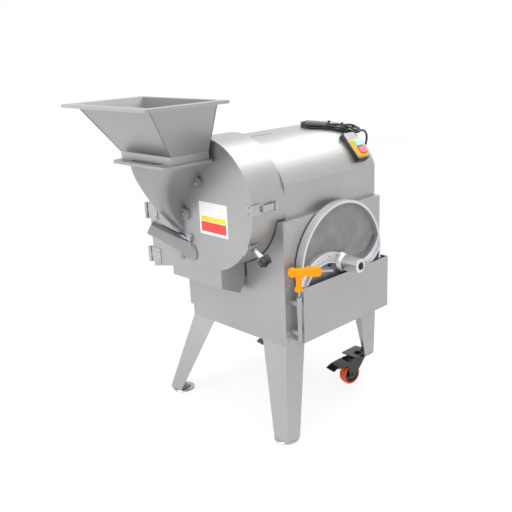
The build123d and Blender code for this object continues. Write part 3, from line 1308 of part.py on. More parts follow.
def key_rod():
    """Bent steel rod of the hex key: the long leg in the holder and the short side leg."""
    rod_end = HOLDER_BOTTOM + HOLDER_FLOOR + SEAT_GAP - KEY_HANDLE_HEIGHT
    rod = along_z(RegularPolygon(KEY_ROD_RADIUS, 6), rod_end, 0)
    side = extrude(Plane.YZ * RegularPolygon(KEY_ROD_RADIUS, 6), KEY_HANDLE_RIGHT + KEY_SIDE_ROD)
    return key_frame() * (rod + side)


def key_handle():
    """Moulded T grip of the hex key: round head, narrower neck, long grip and a flared foot."""
    radius = KEY_HANDLE_RADIUS
    head_x = radius - KEY_HANDLE_LEFT
    grip = span((radius, -radius), (KEY_HANDLE_RIGHT, radius))
    grip = fillet(grip.vertices(), radius - 2)
    neck = span((head_x, 4 - radius), (2 * radius, radius - 4))
    half = KEY_HANDLE_THICKNESS / 2
    handle = along_y(Pos(head_x, 0) * Circle(radius) + neck + grip, -half, half)
    handle = fillet(handle.edges().group_by(Axis.Y)[0] + handle.edges().group_by(Axis.Y)[-1], 4)
    foot = -KEY_STEM_LENGTH
    flare = KEY_STEM_RADIUS + 4
    stem = make_face(
        Polyline(
            (0, foot),
            (flare, foot),
            (flare, foot + 5),
            (KEY_STEM_RADIUS, foot + 14),
            (KEY_STEM_RADIUS, foot + 30),
            (half, -radius / 2),
            (0, 0),
            close=True,
        )
    )
    handle += revolve(Plane.XZ * stem, Axis.Z)
    handle -= along_z(RegularPolygon(KEY_ROD_RADIUS, 6), foot - 1, 0)
    handle -= extrude(Plane.YZ * RegularPolygon(KEY_ROD_RADIUS, 6), KEY_HANDLE_RIGHT + 1)
    return key_frame() * handle


def switch_frame():
    """Frame on the arch at the switch: local X runs down the arch, local Z is outward."""
    lean = math.asin(SWITCH_X / CROWN_RADIUS)
    height = CROWN_CENTRE + CROWN_RADIUS * math.cos(lean)
    return Pos(SWITCH_X, SWITCH_Y, height) * Rot(0, math.degrees(lean), 0)


def switch_base():
    """Black base with a light plate edge, fitted to the curve of the top cover."""
    base = along_z(Rectangle(SWITCH_LENGTH, SWITCH_WIDTH), -8, SWITCH_BASE_HEIGHT)
    base = fillet(base.edges().filter_by(Axis.Z), 8)
    base = switch_frame() * base
    arch = Pos(0, CROWN_CENTRE) * Circle(CROWN_RADIUS)
    return base - along_y(arch, 0, CABINET_BACK + 10)


def switch_plate():
    """Light metal plate on the switch base."""
    low = SWITCH_BASE_HEIGHT
    outline = RectangleRounded(SWITCH_LENGTH - 8, SWITCH_WIDTH - 8, 6)
    return switch_frame() * along_z(outline, low, low + SWITCH_PLATE_HEIGHT)


def button_place(side):
    """Centre of a button on the switch, in the switch's frame."""
    return Pos(SWITCH_COVER_SHIFT + side * BUTTON_SHIFT, 0)


def switch_cover():
    """Yellow bezel with an opening for each button."""
    low = SWITCH_BASE_HEIGHT + SWITCH_PLATE_HEIGHT
    outline = Pos(SWITCH_COVER_SHIFT, 0) * RectangleRounded(SWITCH_COVER_LENGTH, SWITCH_COVER_WIDTH, 6)
    bezel = along_z(outline, low, low + SWITCH_COVER_HEIGHT)
    bezel = chamfer(bezel.edges().group_by(Axis.Z)[-1], 1.5)
    for side in (-1, 1):
        opening = RectangleRounded(BUTTON_LENGTH + 2 * BUTTON_GAP, BUTTON_WIDTH + 2 * BUTTON_GAP, 3)
        bezel -= along_z(button_place(side) * opening, low - 1, low + SWITCH_COVER_HEIGHT + 1)
    return switch_frame() * bezel


def push_button(side):
    """Rectangular push button that slides inward."""
    low = SWITCH_BASE_HEIGHT + SWITCH_PLATE_HEIGHT + BUTTON_TRAVEL + SEAT_GAP
    button = along_z(RectangleRounded(BUTTON_LENGTH, BUTTON_WIDTH, 2.5), low, low + BUTTON_HEIGHT)
    button = fillet(button.edges().group_by(Axis.Z)[-1], 1.2)
    return switch_frame() * button_place(side) * button


def cable_gland():
    """Strain relief in the back panel, with its nut on the sheet."""
    centre = (GLAND_X, GLAND_HEIGHT)
    inside = CABINET_BACK - SHEET - 12
    end = CABINET_BACK + GLAND_LENGTH
    gland = along_y(disc_profile(GLAND_RADIUS * 0.7, centre), inside, CABINET_BACK)
    gland += along_y(Pos(*centre) * RegularPolygon(GLAND_RADIUS + 2, 6), CABINET_BACK, CABINET_BACK + 7)
    dome = along_y(disc_profile(GLAND_RADIUS, centre), CABINET_BACK + 6, end)
    gland += fillet(dome.edges().group_by(Axis.Y)[-1], 5)
    return gland


def cable_route():
    """Points of the cable from the gland round and down onto the hank."""
    return (
        (GLAND_X, CABINET_BACK + GLAND_LENGTH, GLAND_HEIGHT),
        (101, 540, 825.5),
        (104, 562, 841),
        (109, 571, 867),
        (116, 562, 893),
        (122, 540, 909),
        (127, 512, 913),
        (130, HANK_BACK - 2, 910.2),
    )


def bend_radii(points):
    """The widest arc for each corner that its two runs allow."""
    radii = []
    for before, corner, after in zip(points, points[1:], points[2:]):
        first = Vector(*corner) - Vector(*before)
        second = Vector(*after) - Vector(*corner)
        half_turn = math.radians(first.get_angle(second)) / 2
        radii.append(0.45 * min(first.length, second.length) / math.tan(half_turn))
    return radii


def power_cable():
    """Cable from the gland up behind the cabinet and over onto the hank."""
    points = cable_route()
    radii = bend_radii(points)
    print("cable bend radii", [round(radius, 1) for radius in radii])
    route = FilletPolyline(*points, radius=radii)
    section = Plane(points[0], z_dir=route % 0) * Circle(CABLE_RADIUS)
    cable = sweep(section, path=route)
    share = cable.volume / (math.pi * CABLE_RADIUS**2 * route.length)
    print("cable length", round(route.length, 1), "volume share", round(share, 4))
    return cable - block((0, 300), (HANK_BACK - 20, HANK_BACK), (800, 1000))


def plug_frame():
    """Frame where the plug's strain relief meets the hank; local Z runs along the plug."""
    lean = math.asin(PLUG_MIDDLE_X / (CROWN_RADIUS + PLUG_RADIUS))
    outward = Vector(math.sin(lean), 0, math.cos(lean))
    down = Vector(math.cos(lean), 0, -math.sin(lean))
    heading = math.radians(PLUG_HEADING)
    along = (down * math.cos(heading) + Vector(0, 1, 0) * math.sin(heading)).normalized()
    middle = Vector(0, PLUG_MIDDLE_Y, CROWN_CENTRE)
    middle += outward * (CROWN_RADIUS + SEAT_GAP + PLUG_RADIUS)
    return Plane(middle - along * (PLUG_LENGTH / 2), x_dir=along.cross(outward), z_dir=along)


def hank_slab(extra):
    """The hank's outline on the top cover, grown by extra to the sides and upward."""
    plan = make_face(
        Polyline(
            (36, 298),
            (64, 300),
            (88, 335),
            (102, 385),
            (113, 420),
            (118, 458),
            (150, 464),
            (163, 473),
            (160, HANK_BACK),
            (118, HANK_BACK),
            (100, 460),
            (74, 418),
            (50, 385),
            (20, 330),
            close=True,
        )
    )
    if extra:
        plan = offset(plan, extra)
    low = CROWN_RADIUS + SEAT_GAP
    ring = Pos(0, CROWN_CENTRE) * (Circle(low + HANK_HEIGHT + extra) - Circle(low))
    return along_y(ring, 250, CABINET_BACK) & along_z(plan, SHOULDER_HEIGHT, CROWN_HEIGHT + 40)


def cable_hank():
    """Outer shape of the folded cable, with a notch at its far left for the plug."""
    reach = PLUG_RADIUS + 1.5
    notch = Pos(40 - reach, 0, 60) * Box(80, 80, 120)
    return hank_slab(0) - plug_frame() * notch


def cable_ties():
    """Two ties across the hank."""
    hank = cable_hank()
    ties = []
    for x, y in ((82, 400), (108, 441)):
        strip = Pos(x, y, CROWN_HEIGHT) * Rot(0, 0, PLUG_HEADING) * Box(TIE_WIDTH, 90, 200)
        ties.append((hank_slab(TIE_THICKNESS) & strip) - hank)
    return Compound(ties)


def power_plug():
    """Moulded plug at the end of the hank, with its strain relief."""
    profile = make_face(
        Polyline(
            (0, 0),
            (PLUG_RELIEF_RADIUS, 0),
            (PLUG_RELIEF_RADIUS + 1, PLUG_RELIEF_LENGTH),
            (PLUG_RADIUS, PLUG_RELIEF_LENGTH + 6),
            (PLUG_RADIUS, PLUG_LENGTH - 4),
            (PLUG_RADIUS - 3, PLUG_LENGTH),
            (0, PLUG_LENGTH),
            close=True,
        )
    )
    return plug_frame() * revolve(Plane.XZ * profile, Axis.Z)


CORD_NODES = ("power_cable", "cable_hank")

pieces = {
    "cabinet_body": cabinet_body(),
    "top_cover": top_cover(),
    "front_plate": front_plate(),
    "side_cover_right": side_cover(RIGHT_COVER_X, 1),
    "side_cover_left": side_cover_left(),
    "cover_screws": cover_screws(),
    "base_frame": base_frame(),
    "leg_front_left": leg(-1, True),
    "leg_front_right": leg(1, True),
    "leg_rear_left": leg(-1, False),
    "leg_rear_right": leg(1, False),
    "leveling_feet": leveling_feet(),
    "caster_plates": caster_plates(),
    "leg_bolts": leg_bolts(),
    "drum_housing": drum_housing(),
    "discharge_chute": discharge_chute(),
    "bearing_housing": bearing_housing(),
    "motor": motor(),
    "drive_belt": drive_belt(),
    "rack_pocket": rack_pocket(),
    "tool_holder": tool_holder(),
    "switch_base": switch_base(),
    "switch_plate": switch_plate(),
    "switch_cover": switch_cover(),
    "start_button": push_button(-1),
    "stop_button": push_button(1),
    "cable_gland": cable_gland(),
    "power_cable": power_cable(),
    "cable_hank": cable_hank(),
    "cable_ties": cable_ties(),
    "power_plug": power_plug(),
    "door_pan": door_pan(),
    "hopper": hopper(),
    "funnel_throat": funnel_throat(),
    "feed_tube": feed_tube(),
    "door_screws": door_screws(),
    "hinge_door_leaves": hinge_door_leaves(),
    "hinge_frame_leaves": hinge_frame_leaves(),
    "latch_strike": latch_strike(),
    "latch_base": latch_base(),
    "latch_lever": latch_lever(),
    "clamp_tab": clamp_tab(),
    "clamp_knob": clamp_knob(),
    "spindle_shaft": spindle_shaft(),
    "spindle_pulley": spindle_pulley(),
    "motor_pulley": motor_pulley(),
    "cutter_disc": drum_disc_place() * disc_casting(),
    "cutter_blades": drum_disc_place() * disc_blades(),
    "spare_disc": rack_disc_place() * disc_casting(),
    "spare_blades": rack_disc_place() * disc_blades(),
    "key_handle": key_handle(),
    "key_rod": key_rod(),
}
for name, side in (("left", -1), ("right", 1)):
    pieces["caster_fork_" + name] = caster_fork(side)
    pieces["wheel_core_" + name] = caster_core(side)
    pieces["wheel_tread_" + name] = caster_tread(side)
    pieces["brake_pedal_" + name] = caster_pedal(side)

solid_pieces = [piece for name, piece in pieces.items() if name not in CORD_NODES]
whole = Compound(solid_pieces).bounding_box()
HOME_SHIFT = Pos(-(whole.min.X + whole.max.X) / 2, -(whole.min.Y + whole.max.Y) / 2, 0)

os.makedirs("parts", exist_ok=True)
for name, piece in pieces.items():
    export_step(HOME_SHIFT * piece, "parts/" + name + ".step")
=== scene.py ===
"""Dresses the vegetable cutting machine: finishes, cable, fastener detail, light and camera."""

import math

import bmesh
import bpy
from mathutils import Matrix, Vector


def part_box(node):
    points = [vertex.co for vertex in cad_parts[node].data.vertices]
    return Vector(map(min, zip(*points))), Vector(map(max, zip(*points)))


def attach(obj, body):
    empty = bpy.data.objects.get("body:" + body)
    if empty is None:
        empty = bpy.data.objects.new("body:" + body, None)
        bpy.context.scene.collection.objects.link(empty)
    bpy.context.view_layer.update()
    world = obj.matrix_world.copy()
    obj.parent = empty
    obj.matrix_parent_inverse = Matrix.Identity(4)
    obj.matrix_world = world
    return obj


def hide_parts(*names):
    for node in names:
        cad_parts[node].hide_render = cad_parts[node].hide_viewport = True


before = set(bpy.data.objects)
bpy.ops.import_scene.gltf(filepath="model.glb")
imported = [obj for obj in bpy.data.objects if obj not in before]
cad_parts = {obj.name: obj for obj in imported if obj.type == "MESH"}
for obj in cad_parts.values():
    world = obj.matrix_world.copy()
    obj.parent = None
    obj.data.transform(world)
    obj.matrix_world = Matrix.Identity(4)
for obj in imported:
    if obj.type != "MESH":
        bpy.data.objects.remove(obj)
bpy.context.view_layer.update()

MM = 0.001


def home():
    """Where the machine's own zero point lies in the frame: middle of the front sheet."""
    low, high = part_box("front_plate")
    return Vector(((low.x + high.x) / 2, low.y, 0))


HOME = home()


def at(x, y, z):
    """A point of the machine in millimetres from the middle of the front sheet, in metres."""
    return HOME + Vector((x, y, z)) * MM


def add_object(name, data):
    """Links a new object that holds this data."""
    obj = bpy.data.objects.new(name, data)
    bpy.context.scene.collection.objects.link(obj)
    return obj


def mesh_data(name, bm, material):
    """Turns a finished bmesh into a mesh of one material."""
    mesh = bpy.data.meshes.new(name)
    bm.normal_update()
    bm.to_mesh(mesh)
    bm.free()
    mesh.materials.append(material)
    return mesh


def mesh_object(name, bm, material, body):
    """Links a finished bmesh as a piece that rides on a body."""
    obj = add_object(name, mesh_data(name, bm, material))
    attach(obj, body)
    return obj


# Camera, matched to the photograph
CAMERA_AZIMUTH = math.radians(46.4296)
CAMERA_ELEVATION = math.radians(17.024)
CAMERA_ROLL = math.radians(-2.4973)
CAMERA_PLACE = (1670.6, -1487.9, 1233.3)
CAMERA_LENS = 49.80
SENSOR_WIDTH = 36
VIEW_END = 30


def add_camera():
    """Camera at the photograph's place and angle."""
    az, el = CAMERA_AZIMUTH, CAMERA_ELEVATION
    forward = Vector((-math.sin(az) * math.cos(el), math.cos(az) * math.cos(el), -math.sin(el)))
    right = Vector((math.cos(az), math.sin(az), 0))
    up = right.cross(forward)
    c, s = math.cos(CAMERA_ROLL), math.sin(CAMERA_ROLL)
    right, up = c * right + s * up, c * up - s * right
    data = bpy.data.cameras.new("camera")
    data.lens = CAMERA_LENS
    data.sensor_width = SENSOR_WIDTH
    data.clip_end = VIEW_END
    camera = add_object("camera", data)
    rotation = Matrix((right, up, -forward)).transposed().to_4x4()
    camera.matrix_world = Matrix.Translation(at(*CAMERA_PLACE)) @ rotation
    bpy.context.scene.camera = camera


# Node material helpers
def rgb(code):
    """Linear colour from an sRGB hex code."""
    out = []
    for i in (0, 2, 4):
        v = int(code[i:i + 2], 16) / 255
        out.append(v / 12.92 if v <= 0.04045 else ((v + 0.055) / 1.055) ** 2.4)
    return (*out, 1.0)


class Nodes:
    """The nodes of a material or a world, with one call to add a node and set its inputs."""

    def __init__(self, owner, output="ShaderNodeOutputMaterial"):
        owner.use_nodes = True
        self.owner = owner
        self.tree = owner.node_tree
        self.tree.nodes.clear()
        self.output = self.add(output)
        self.coordinates = self.add("ShaderNodeTexCoord").outputs

    def add(self, kind, settings=None, **inputs):
        """Adds a node; keyword names are its inputs, and a socket as a value is linked."""
        node = self.tree.nodes.new(kind)
        for key, value in (settings or {}).items():
            setattr(node, key, value)
        for key, value in inputs.items():
            socket = node.inputs[key.replace("_", " ")]
            if isinstance(value, bpy.types.NodeSocket):
                self.tree.links.new(value, socket)
            else:
                socket.default_value = value
        return node

    def noise(self, scale, detail=3.0):
        """Noise value over the object, finer for a larger scale."""
        node = self.add("ShaderNodeTexNoise", Vector=self.coordinates["Object"], Scale=scale, Detail=detail)
        return node.outputs["Fac"]

    def ramp(self, value, low, high, start=0.35, end=0.65):
        """Colour from low to high as value goes from start to end."""
        node = self.add("ShaderNodeValToRGB", Fac=value)
        first, last = node.color_ramp.elements
        first.position, first.color = start, low
        last.position, last.color = end, high
        return node.outputs["Color"]

    def span(self, value, low, high):
        """Number from low to high as value goes from 0 to 1."""
        return self.add("ShaderNodeMapRange", Value=value, To_Min=low, To_Max=high).outputs[0]

    def bump(self, height, strength, depth):
        """Normal that follows a height, with its greatest depth in metres."""
        return self.add("ShaderNodeBump", Height=height, Strength=strength, Distance=depth).outputs[0]

    def finish(self, **inputs):
        """Ends in one Principled surface with these inputs."""
        shader = self.add("ShaderNodeBsdfPrincipled", **inputs)
        self.tree.links.new(shader.outputs[0], self.output.inputs["Surface"])
        return self.owner

    def finish_mix(self, share, first, second):
        """Ends in a mix of two shader nodes, with the second one's share."""
        mix = self.add("ShaderNodeMixShader", Fac=share)
        self.tree.links.new(first.outputs[0], mix.inputs[1])
        self.tree.links.new(second.outputs[0], mix.inputs[2])
        self.tree.links.new(mix.outputs[0], self.output.inputs["Surface"])
        return self.owner


def new_material(name):
    """Nodes of a new material."""
    return Nodes(bpy.data.materials.new(name))


def steel(name, dark, light, rough, grain, scale=1400, metal=0.85):
    """Bare metal: even tone, very faint clouding and a fine surface grain."""
    m = new_material(name)
    return m.finish(
        Base_Color=m.ramp(m.noise(5, 2), rgb(dark), rgb(light), 0.3, 0.7),
        Metallic=metal,
        Roughness=m.span(m.noise(30, 3), *rough),
        Normal=m.bump(m.noise(scale, 2), grain, 0.0003),
    )


def blasted_sheet():
    """Bead blasted stainless sheet of the cabinet, drum and door."""
    return steel("blasted stainless sheet", "aaaaab", "b0b0b1", (0.38, 0.42), 0.1, 1500)


def hopper_sheet():
    """Stainless sheet of the hopper, a little smoother than the cabinet's."""
    return steel("hopper stainless sheet", "a2a2a4", "a9a9ab", (0.34, 0.4), 0.08, 1200)


def cast_throat():
    """Cast stainless of the throat, with a coarser skin than sheet."""
    return steel("cast stainless throat", "9c9c9e", "a6a6a8", (0.36, 0.46), 0.16, 420)


def smooth_steel():
    """Polished stainless of hinges, latch and screws."""
    return steel("polished stainless fittings", "b4b4b6", "bababc", (0.24, 0.28), 0.02, 900, 0.92)


def tube_steel():
    """Drawn stainless tube of the feed chute, polished along its length."""
    return steel("drawn stainless tube", "9c9c9e", "a4a4a6", (0.2, 0.24), 0.02, 900, 0.95)


def disc_plate_skin():
    """Casting skin on the disc's plate: dull, a little mottled and darker than the machined rim."""
    m = new_material("cast aluminium plate skin")
    blotch = m.noise(22, 6)
    return m.finish(
        Base_Color=m.ramp(blotch, rgb("828284"), rgb("929294"), 0.3, 0.7),
        Metallic=0.7,
        Roughness=m.span(m.noise(60, 4), 0.48, 0.6),
        Normal=m.bump(m.noise(900, 3), 0.08, 0.0004),
    )


def disc_machined():
    """Bright turned aluminium of the disc's rim, hub and arms."""
    return steel("turned aluminium rim", "d2d2d4", "dadadc", (0.28, 0.36), 0.08, 700)


DISC_PLATE = 12.0
PLATE_SPARE = 0.3


def dress_disc(node, axis, sign, bright, dull):
    """Bright metal on a disc, with the casting skin on the face at its plate's depth."""
    paint(node, bright)
    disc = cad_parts[node]
    disc.data.materials.append(dull)
    low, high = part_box(node)
    face = low[axis] if sign > 0 else high[axis]
    for polygon in disc.data.polygons:
        level = sign * ((disc.matrix_world @ polygon.center)[axis] - face)
        if abs(level - DISC_PLATE * MM) < PLATE_SPARE * MM:
            polygon.material_index = 1


def cast_iron():
    """Turned cast iron of pulleys and bearing tube."""
    return steel("turned cast iron", "4f5052", "636466", (0.45, 0.6), 0.2)


def moulded(name, dark, light, rough, grain, coat=0.0, shine=0.5):
    """Moulded plastic or enamel: slight tone change, fine surface grain and optional gloss coat."""
    m = new_material(name)
    return m.finish(
        Base_Color=m.ramp(m.noise(24, 3), rgb(dark), rgb(light)),
        Roughness=m.span(m.noise(60, 3), rough - 0.05, rough + 0.07),
        Normal=m.bump(m.noise(700, 2), grain, 0.0004),
        Coat_Weight=coat,
        Coat_Roughness=0.15,
        Specular_IOR_Level=shine,
    )


def tread_rubber():
    """Orange polyurethane tread: slightly translucent, with light scuffs."""
    m = new_material("orange polyurethane tread")
    scuff = m.noise(90, 5)
    return m.finish(
        Base_Color=m.ramp(scuff, rgb("cc4408"), rgb("d85414")),
        Roughness=m.span(scuff, 0.3, 0.5),
        Subsurface_Weight=0.12,
        Subsurface_Radius=(0.004, 0.001, 0.0005),
        Normal=m.bump(m.noise(500, 2), 0.08, 0.0004),
    )


def cable_jacket():
    """Black rubber jacket with a fine satin skin."""
    m = new_material("cable jacket rubber")
    fine = m.noise(900, 3)
    return m.finish(
        Base_Color=m.ramp(m.noise(30, 3), rgb("1b1b1d"), rgb("262628")),
        Roughness=m.span(fine, 0.38, 0.52),
        Normal=m.bump(fine, 0.08, 0.0003),
    )


def paint(node, material):
    """Gives a CAD node one material in place of its slots."""
    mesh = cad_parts[node].data
    mesh.materials.clear()
    mesh.materials.append(material)


def dress_nodes():
    """Materials of every CAD node that stays in view."""
    black = moulded("black moulded plastic", "17181a", "232426", 0.42, 0.08)
    enamel = moulded("black enamelled steel", "131416", "1d1e20", 0.3, 0.05, 0.3)
    sheet = blasted_sheet()
    fittings = smooth_steel()
    iron = cast_iron()
    by_material = (
        (sheet, ("cabinet_body", "top_cover", "front_plate", "side_cover_right", "side_cover_left",
                 "base_frame", "leg_front_left", "leg_front_right", "leg_rear_left", "leg_rear_right",
                 "drum_housing", "discharge_chute", "rack_pocket", "tool_holder", "door_pan")),
        (hopper_sheet(), ("hopper",)),
        (tube_steel(), ("feed_tube",)),
        (cast_throat(), ("funnel_throat",)),
        (fittings, ("hinge_door_leaves", "hinge_frame_leaves", "latch_strike", "latch_base",
                    "latch_lever", "clamp_tab", "cover_screws", "door_screws", "leveling_feet",
                    "leg_bolts", "key_rod", "spindle_shaft", "cutter_blades", "spare_blades")),
        (iron, ("spindle_pulley", "motor_pulley", "bearing_housing")),
        (moulded("motor enamel", "3c4650", "47525d", 0.35, 0.06, 0.2), ("motor",)),
        (moulded("belt rubber", "141414", "1f1f1f", 0.6, 0.2), ("drive_belt",)),
        (black, ("switch_base", "cable_gland", "cable_ties", "clamp_knob", "wheel_core_left",
                 "wheel_core_right")),
        (enamel, ("caster_plates", "caster_fork_left", "caster_fork_right", "brake_pedal_left",
                  "brake_pedal_right")),
        (tread_rubber(), ("wheel_tread_left", "wheel_tread_right")),
        (moulded("anodised switch plate", "9a9a9c", "a8a8aa", 0.3, 0.03), ("switch_plate",)),
        (moulded("yellow moulded plastic", "eeae04", "f4b60a", 0.35, 0.03, 0.0, 0.2),
         ("switch_cover",)),
        (moulded("green button plastic", "8fc0c6", "98c8ce", 0.3, 0.02, 0.1), ("start_button",)),
        (moulded("red button plastic", "dc5c70", "e26878", 0.3, 0.02, 0.1), ("stop_button",)),
        (moulded("grey plug plastic", "5c5d5e", "666768", 0.45, 0.06), ("power_plug",)),
        (moulded("orange grip plastic", "f08c00", "f49404", 0.32, 0.02, 0.0, 0.2), ("key_handle",)),
    )
    for material, nodes in by_material:
        for node in nodes:
            paint(node, material)
    bright, dull = disc_machined(), disc_plate_skin()
    dress_disc("spare_disc", 0, 1, bright, dull)
    dress_disc("cutter_disc", 1, 1, bright, dull)


EDGE_WIDTH = 0.5
EDGE_ANGLE = math.radians(35)
SHARP_ANGLE = math.radians(32)


def soften_edges():
    """Shades curved CAD faces smoothly and rounds sheet edges by a hair."""
    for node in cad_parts.values():
        if node.hide_render:
            continue
        bevel = node.modifiers.new("edge", "BEVEL")
        bevel.width = EDGE_WIDTH * MM
        bevel.segments = 2
        bevel.limit_method = "ANGLE"
        bevel.angle_limit = EDGE_ANGLE
        bevel.harden_normals = True
        node.data.shade_smooth()
        node.data.set_sharp_from_angle(angle=SHARP_ANGLE)


# Power cable: the source's route from the gland, its last point 2 mm further back, then the hank
CABLE_RADIUS = 3.75
CABLE_ROUTE = (
    (100, 511, 826),
    (101, 540, 825.5),
    (104, 562, 841),
    (109, 571, 867),
    (116, 562, 893),
    (122, 540, 909),
    (127, 512, 913),
    (130, 484, 910.2),
)
ARCH_CENTRE = 716.5
ARCH_RADIUS = 225.5
HANK_LEFT = (38, 336)
HANK_RIGHT = (126, 478)
SEAT_CLEARANCE = 0.6
STRAND = 7.6
WAIST = 9.0
FOLD_RADIUS = 22.0
FOLD_STEPS = 9
FOLD_STEP = 26.0
# Share of the way along the hank, distance beside its middle line, and lift
HANK_START = ((0.92, 8, 6), (0.82, 9.5, 4.6))
HANK_RUN = ((0.62, WAIST), (0.44, WAIST + 1), (0.29, WAIST + 4))
RIGHT_ENTRY = (0.78, -12.5, 1.5)
RIGHT_EXIT = (0.84, 11, 1)
HANK_END = ((0.8, 8, 21.2), (0.66, 2.5, 20), (0.5, 0, 14))
# The right fold: what each turn draws it in by, its trim and shift, and its rise over the runs below
ENTRY_DRAW = 0.05
FOLD_DRAW = 0.055
FOLD_SHORTER = 0.01
FOLD_NARROWER = 1
FOLD_ASIDE = 3
FOLD_RISES = (
    (2.5, 5, 9, 12, 13.4, 13.4, 13, 11.5, 10),
    (1.5, 3, 4.6, 6, 6.6, 7, 7.8, 9.4, 10.4),
)
PLUG_ENTRY = (71, 388.5, 12.1)


def on_arch(x, y, lift):
    """A point on the top cover above a plan position, lifted off it along its normal."""
    radius = ARCH_RADIUS + lift
    return (x, y, ARCH_CENTRE + math.sqrt(radius**2 - x**2))


def on_hank(share, beside, lift):
    """A point by its share of the way from the hank's left fold to its right one."""
    left, right = Vector(HANK_LEFT), Vector(HANK_RIGHT)
    along = (right - left).normalized()
    spot = left + (right - left) * share + Vector((along.y, -along.x)) * beside
    return on_arch(spot.x, spot.y, lift)


def fold_angles(start):
    """Angles of a fold's points round its middle, the middle one at start degrees."""
    middle = FOLD_STEPS // 2
    return [math.radians(start + FOLD_STEP * (step - middle)) for step in range(FOLD_STEPS)]


def hank_points():
    """The hank: each turn runs out, folds round the plug's end, runs back and folds over the start."""
    fold = FOLD_RADIUS / (Vector(HANK_RIGHT) - Vector(HANK_LEFT)).length
    points = [on_hank(*spot) for spot in HANK_START]
    for turn, rises in enumerate(FOLD_RISES):
        lift = CABLE_RADIUS + SEAT_CLEARANCE + STRAND * turn
        points += [on_hank(share, beside, lift) for share, beside in HANK_RUN]
        for angle in fold_angles(180):
            points.append(on_hank(fold * math.cos(angle), FOLD_RADIUS * math.sin(angle), lift))
        points += [on_hank(share, -beside, lift) for share, beside in reversed(HANK_RUN)]
        share, beside, rise = RIGHT_ENTRY
        points.append(on_hank(share - ENTRY_DRAW * turn, beside, lift + rise))
        for angle, rise in zip(fold_angles(0), rises):
            share = 1 - FOLD_DRAW * turn + (fold - FOLD_SHORTER) * math.cos(angle)
            beside = (FOLD_RADIUS - FOLD_NARROWER) * math.sin(angle) - FOLD_ASIDE
            points.append(on_hank(share, beside, lift + rise))
        if turn < len(FOLD_RISES) - 1:
            share, beside, rise = RIGHT_EXIT
            points.append(on_hank(share, beside, lift + STRAND + rise))
    points += [on_hank(*spot) for spot in HANK_END]
    points.append(on_arch(*PLUG_ENTRY))
    return points


def curve_object(name, points, radius, material):
    """A round tube along one NURBS spline through control points in metres."""
    data = bpy.data.curves.new(name, "CURVE")
    data.dimensions = "3D"
    data.bevel_depth = radius
    data.bevel_resolution = 5
    data.resolution_u = 10
    data.use_fill_caps = True
    spline = data.splines.new("NURBS")
    spline.points.add(len(points) - 1)
    for control, point in zip(spline.points, points):
        control.co = (*point, 1)
    spline.order_u = 3
    spline.use_endpoint_u = True
    data.materials.append(material)
    return add_object(name, data)


def spline_length(obj):
    """Length of a curve object's own line."""
    data = obj.data.copy()
    data.bevel_depth = 0
    bare = bpy.data.objects.new("bare", data)
    mesh = bpy.data.meshes.new_from_object(bare)
    spots = [vertex.co for vertex in mesh.vertices]
    total = sum((spots[edge.vertices[0]] - spots[edge.vertices[1]]).length for edge in mesh.edges)
    bpy.data.meshes.remove(mesh)
    bpy.data.objects.remove(bare)
    return total


def add_cable():
    """The power cable: out of the gland, over the back edge and into its folded hank."""
    route = [at(*p) for p in (*CABLE_ROUTE, *hank_points())]
    cable = curve_object("power_cord", route, CABLE_RADIUS * MM, cable_jacket())
    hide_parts("power_cable", "cable_hank")
    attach(cable, "frame")
    ties = add_ties(moulded("black tie plastic", "17181a", "232426", 0.42, 0.08))
    length = spline_length(cable)
    print("cord length", round(length, 3))


TIE_PLACES = (0.46, 0.74)
TIE_HALF_WIDTH = 14.5
TIE_TOP = 18.0
TIE_BAND = 3.5
TIE_SHEET = 1.0
TIE_SEAT = 1.4
TIE_STEPS = 20
TIE_SQUARENESS = 0.6
TIE_HEAD = (6, 7, 5)
TIE_HEAD_ASIDE = -4
TIE_HEAD_RISE = 4.2
SHARE_PER_MM = 1 / 170


def squared(value):
    """A sine or cosine drawn toward one, so that an oval gets nearly flat sides."""
    return math.copysign(abs(value) ** TIE_SQUARENESS, value)


def tie_ring(bm, share, grow):
    """One ring of a tie's band round all runs, grown outward by a distance."""
    ring = []
    for step in range(TIE_STEPS):
        angle = 2 * math.pi * step / TIE_STEPS
        wide = (TIE_HALF_WIDTH + grow) * squared(math.cos(angle))
        high = (TIE_TOP / 2 + grow) * squared(math.sin(angle))
        ring.append(bm.verts.new(at(*on_hank(share, wide, TIE_TOP / 2 + TIE_SEAT + high))))
    return ring


def add_ties(material):
    """Two plastic ties, each a flat band round the runs with its square head on top."""
    bm = bmesh.new()
    for share in TIE_PLACES:
        rings = [tie_ring(bm, share + forward * SHARE_PER_MM, grow)
                 for forward in (-TIE_BAND / 2, TIE_BAND / 2) for grow in (0, TIE_SHEET)]
        for first, second in ((0, 1), (1, 3), (3, 2), (2, 0)):
            for i in range(TIE_STEPS):
                j = (i + 1) % TIE_STEPS
                bm.faces.new((rings[first][i], rings[first][j], rings[second][j], rings[second][i]))
        head = bmesh.ops.create_cube(bm, size=1)["verts"]
        bmesh.ops.scale(bm, vec=[side * MM for side in TIE_HEAD], verts=head)
        top = at(*on_hank(share, TIE_HEAD_ASIDE, TIE_TOP + TIE_HEAD_RISE))
        bmesh.ops.translate(bm, vec=top, verts=head)
    bmesh.ops.recalc_face_normals(bm, faces=bm.faces)
    ties = mesh_object("cable_ties_dressed", bm, material, "frame")
    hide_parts("cable_ties")
    return ties


# Plain plate on the door
DOOR_FACE = -108.0
PLATE_LEFT = -30
PLATE_RIGHT = 101
PLATE_BOTTOM = 651
PLATE_TOP = 755
PLATE_LIFT = 0.5
BAND_MARGIN = 7
BAND_LIFT = 0.7
YELLOW_BAND = (694, 710)
RED_BAND = (660, 692)
CORNER_RADIUS = 2.0
CORNER_STEPS = 5
FILM_FINISH = (0.35, 0.01, 0.3)


